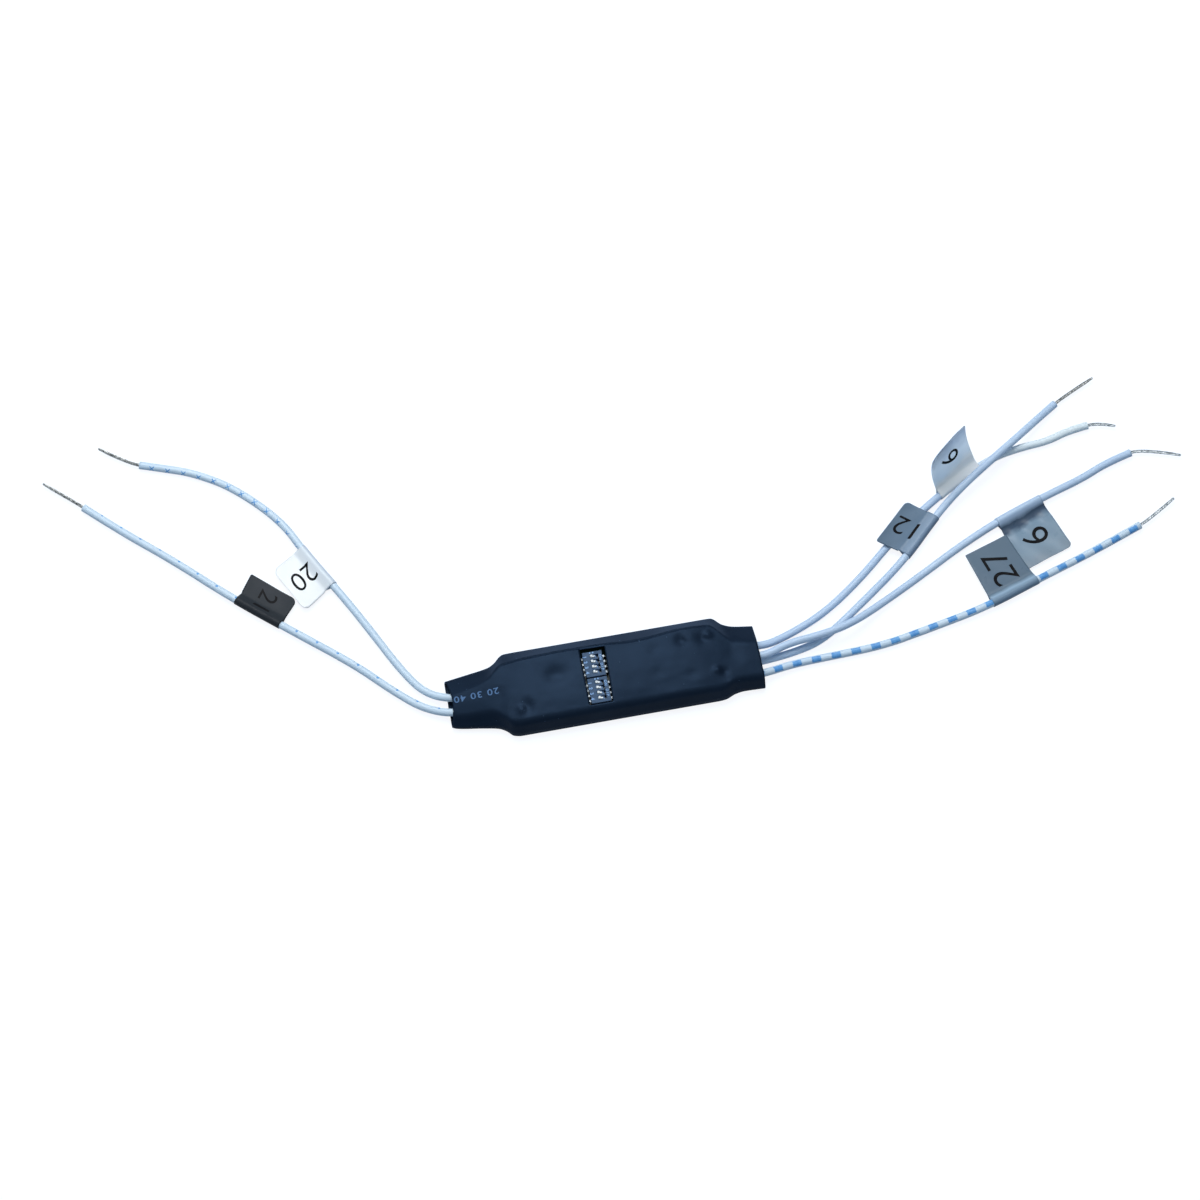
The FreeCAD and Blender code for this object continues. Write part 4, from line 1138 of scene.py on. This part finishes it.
plated = grained(
    "plated_lead", (0.62, 0.66, 0.68), (0.86, 0.89, 0.9), 1300, (0.26, 0.42), 0.2,
    Metallic=1,
)
solder = grained(
    "solder", (0.4, 0.42, 0.42), (0.66, 0.68, 0.68), 700, (0.3, 0.5), 0.3, 0.04,
    Metallic=1,
)
brass = grained(
    "spring_strip", (0.5, 0.36, 0.16), (0.68, 0.52, 0.27), 1100, (0.26, 0.42), Metallic=1
)
epoxy = grained(
    "epoxy_black", (0.011, 0.011, 0.013), (0.022, 0.022, 0.025), 1200, (0.5, 0.66), 0.3,
    0.03, 8,
)
tantalum = grained(
    "epoxy_yellow", (0.42, 0.22, 0.045), (0.58, 0.34, 0.09), 500, (0.4, 0.55), 0.2, 0.03
)
ceramic = grained("ceramic", (0.3, 0.24, 0.17), (0.42, 0.35, 0.26), 900, (0.45, 0.6), 0.25)


def laminate_material():
    """Dark green solder mask over glass weave, with a faint crossing grain."""
    shade = Shade("laminate", Specular_IOR_Level=0.5)
    weave = [
        shade.add(
            "TexWave", {"Vector": shade.place, "Scale": 620, "Distortion": 0.6},
            bands_direction=axis,
        ).outputs["Fac"]
        for axis in ("X", "Y")
    ]
    cloth = shade.math("MULTIPLY", *weave)
    mottle = shade.noise(350, 4)
    parts = shade.math("MULTIPLY", cloth, 0.3), shade.math("MULTIPLY", mottle, 0.7)
    grain = shade.math("ADD", *parts)
    green = shade.ramp(grain, (0.2, (0.003, 0.017, 0.011)), (0.75, (0.01, 0.05, 0.03)))
    shade.feed("Base Color", green)
    shade.feed("Roughness", shade.spread(mottle, 0.28, 0.42))
    shade.bump(cloth, 0.2, 0.02)
    return shade.material


def terminal_material():
    """Plated terminals, duller towards their feet, which a near-black colour paints in shade."""
    shade = Shade("terminal_tin", Metallic=0.9)
    height = shade.add("SeparateXYZ", {0: shade.place}).outputs["Z"]
    wander = shade.math("MULTIPLY", shade.noise(900, 3), 0.0004)
    # Painted shade: near black low on the terminals, with a ragged edge
    shaded_foot = shade.spread(shade.math("ADD", height, wander), 0, 1, 0.0039, 0.0043)
    metal = shade.ramp(shade.noise(1300, 3), (0.35, (0.14, 0.17, 0.2)), (0.65, (0.36, 0.4, 0.43)))
    shade.feed("Base Color", shade.mix(shaded_foot, (0.006, 0.007, 0.008, 1), metal))
    shade.feed("Roughness", shade.spread(shaded_foot, 0.8, 0.42, 0, 1))
    shade.bump(shade.noise(4000, 2), 0.2, 0.02)
    return shade.material


laminate = laminate_material()
terminal_tin = terminal_material()
# The material of each piece and the radius of its edges
FINISHES = {
    "circuit_board": (laminate, 0.08),
    "storage_capacitor": (tantalum, 0.12),
    "storage_capacitor_straps": (plated, 0.03),
    "resonator": (ceramic, 0.1),
    "chip_resistors": (epoxy, 0.05),
    "chip_capacitors": (ceramic, 0.06),
    "wire_tails": (solder, 0),
    "solder_joints": (solder, 0),
}
for chip in ("microcontroller", "regulator", "bridge_rectifier"):
    FINISHES[f"{chip}_body"] = (epoxy, 0.08)
    FINISHES[f"{chip}_leads"] = (plated, 0.04)
for letter in "ab":
    FINISHES[f"switch_{letter}_housing"] = (switch_blue, 0.05)
    FINISHES[f"switch_{letter}_cover"] = (switch_blue, 0.05)
    FINISHES[f"switch_{letter}_terminals"] = (terminal_tin, 0.04)
    for way in range(1, 5):
        FINISHES[f"switch_{letter}_contact_{way}"] = (brass, 0.03)
for name, (material, rounding) in FINISHES.items():
    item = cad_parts[name]
    item.data.materials.clear()
    item.data.materials.append(material)
    if rounding:
        weld = item.modifiers.new("Weld", "WELD")
        weld.merge_threshold = 0.002 * MM
        bevel = item.modifiers.new("Rounding", "BEVEL")
        bevel.width = rounding * MM
        bevel.segments = 2
        bevel.limit_method = "ANGLE"
        bevel.angle_limit = math.radians(40)


# Floor, light and camera, with lengths in metres


def floor():
    """A pale floor that keeps the object's shadow and looks white to the camera."""
    mesh = bpy.data.meshes.new("floor")
    mesh.from_pydata([(-4, -4, 0), (4, -4, 0), (4, 4, 0), (-4, 4, 0)], [], [(0, 1, 2, 3)])
    shade = Shade("floor", Roughness=0.9, Specular_IOR_Level=0.1)
    cloud = shade.noise(3, 2)
    pale = shade.ramp(cloud, (0.3, (0.18, 0.25, 0.35)), (0.7, (0.19, 0.26, 0.36)))
    shade.feed("Base Color", pale)
    rays = shade.add("LightPath").outputs
    seen = shade.math(
        "MAXIMUM", rays["Is Camera Ray"],
        shade.math("MAXIMUM", rays["Is Glossy Ray"], rays["Is Transmission Ray"]),
    )
    shade.shader.inputs["Emission Color"].default_value = (1, 1, 1, 1)
    shade.feed("Emission Strength", shade.math("MULTIPLY", seen, 0.88))
    mesh.materials.append(shade.material)
    item = placed("floor", mesh, (0, 0, -0.05 * MM))


def lamp(name, place, aim, extent, power, colour):
    light = bpy.data.lights.new(name, "AREA")
    light.shape = "RECTANGLE"
    light.size, light.size_y = extent
    light.energy = power
    light.color = colour
    placed(name, light, place, aim)


floor()
lamp("key", (-0.02, 0.28, 0.5), (0, 0.02, 0), (0.4, 0.34), 2.4, (1, 1, 1))
lamp("fill", (-0.75, 0.25, 0.6), (-0.02, 0.02, 0), (0.4, 0.4), 0.8, (0.9, 0.96, 1))
lamp("front", (0.12, -0.16, 0.66), (0, 0.02, 0), (0.5, 0.3), 0.3, (1, 1, 1))

world = bpy.data.worlds.new("studio")
world.use_nodes = True
back = world.node_tree.nodes["Background"]
back.inputs["Color"].default_value = (0.6, 0.78, 0.95, 1)
back.inputs["Strength"].default_value = 0.3
bpy.context.scene.world = world
bpy.context.scene.view_settings.view_transform = "Standard"

camera = bpy.data.cameras.new("camera")
camera.lens = 91.98
camera.sensor_width = 36
camera.clip_start, camera.clip_end = 0.02, 20
eye, target = (-0.0499, -0.2597, 0.6395), (0.00296, 0.0201, 0)
bpy.context.scene.camera = placed("camera", camera, eye, target)
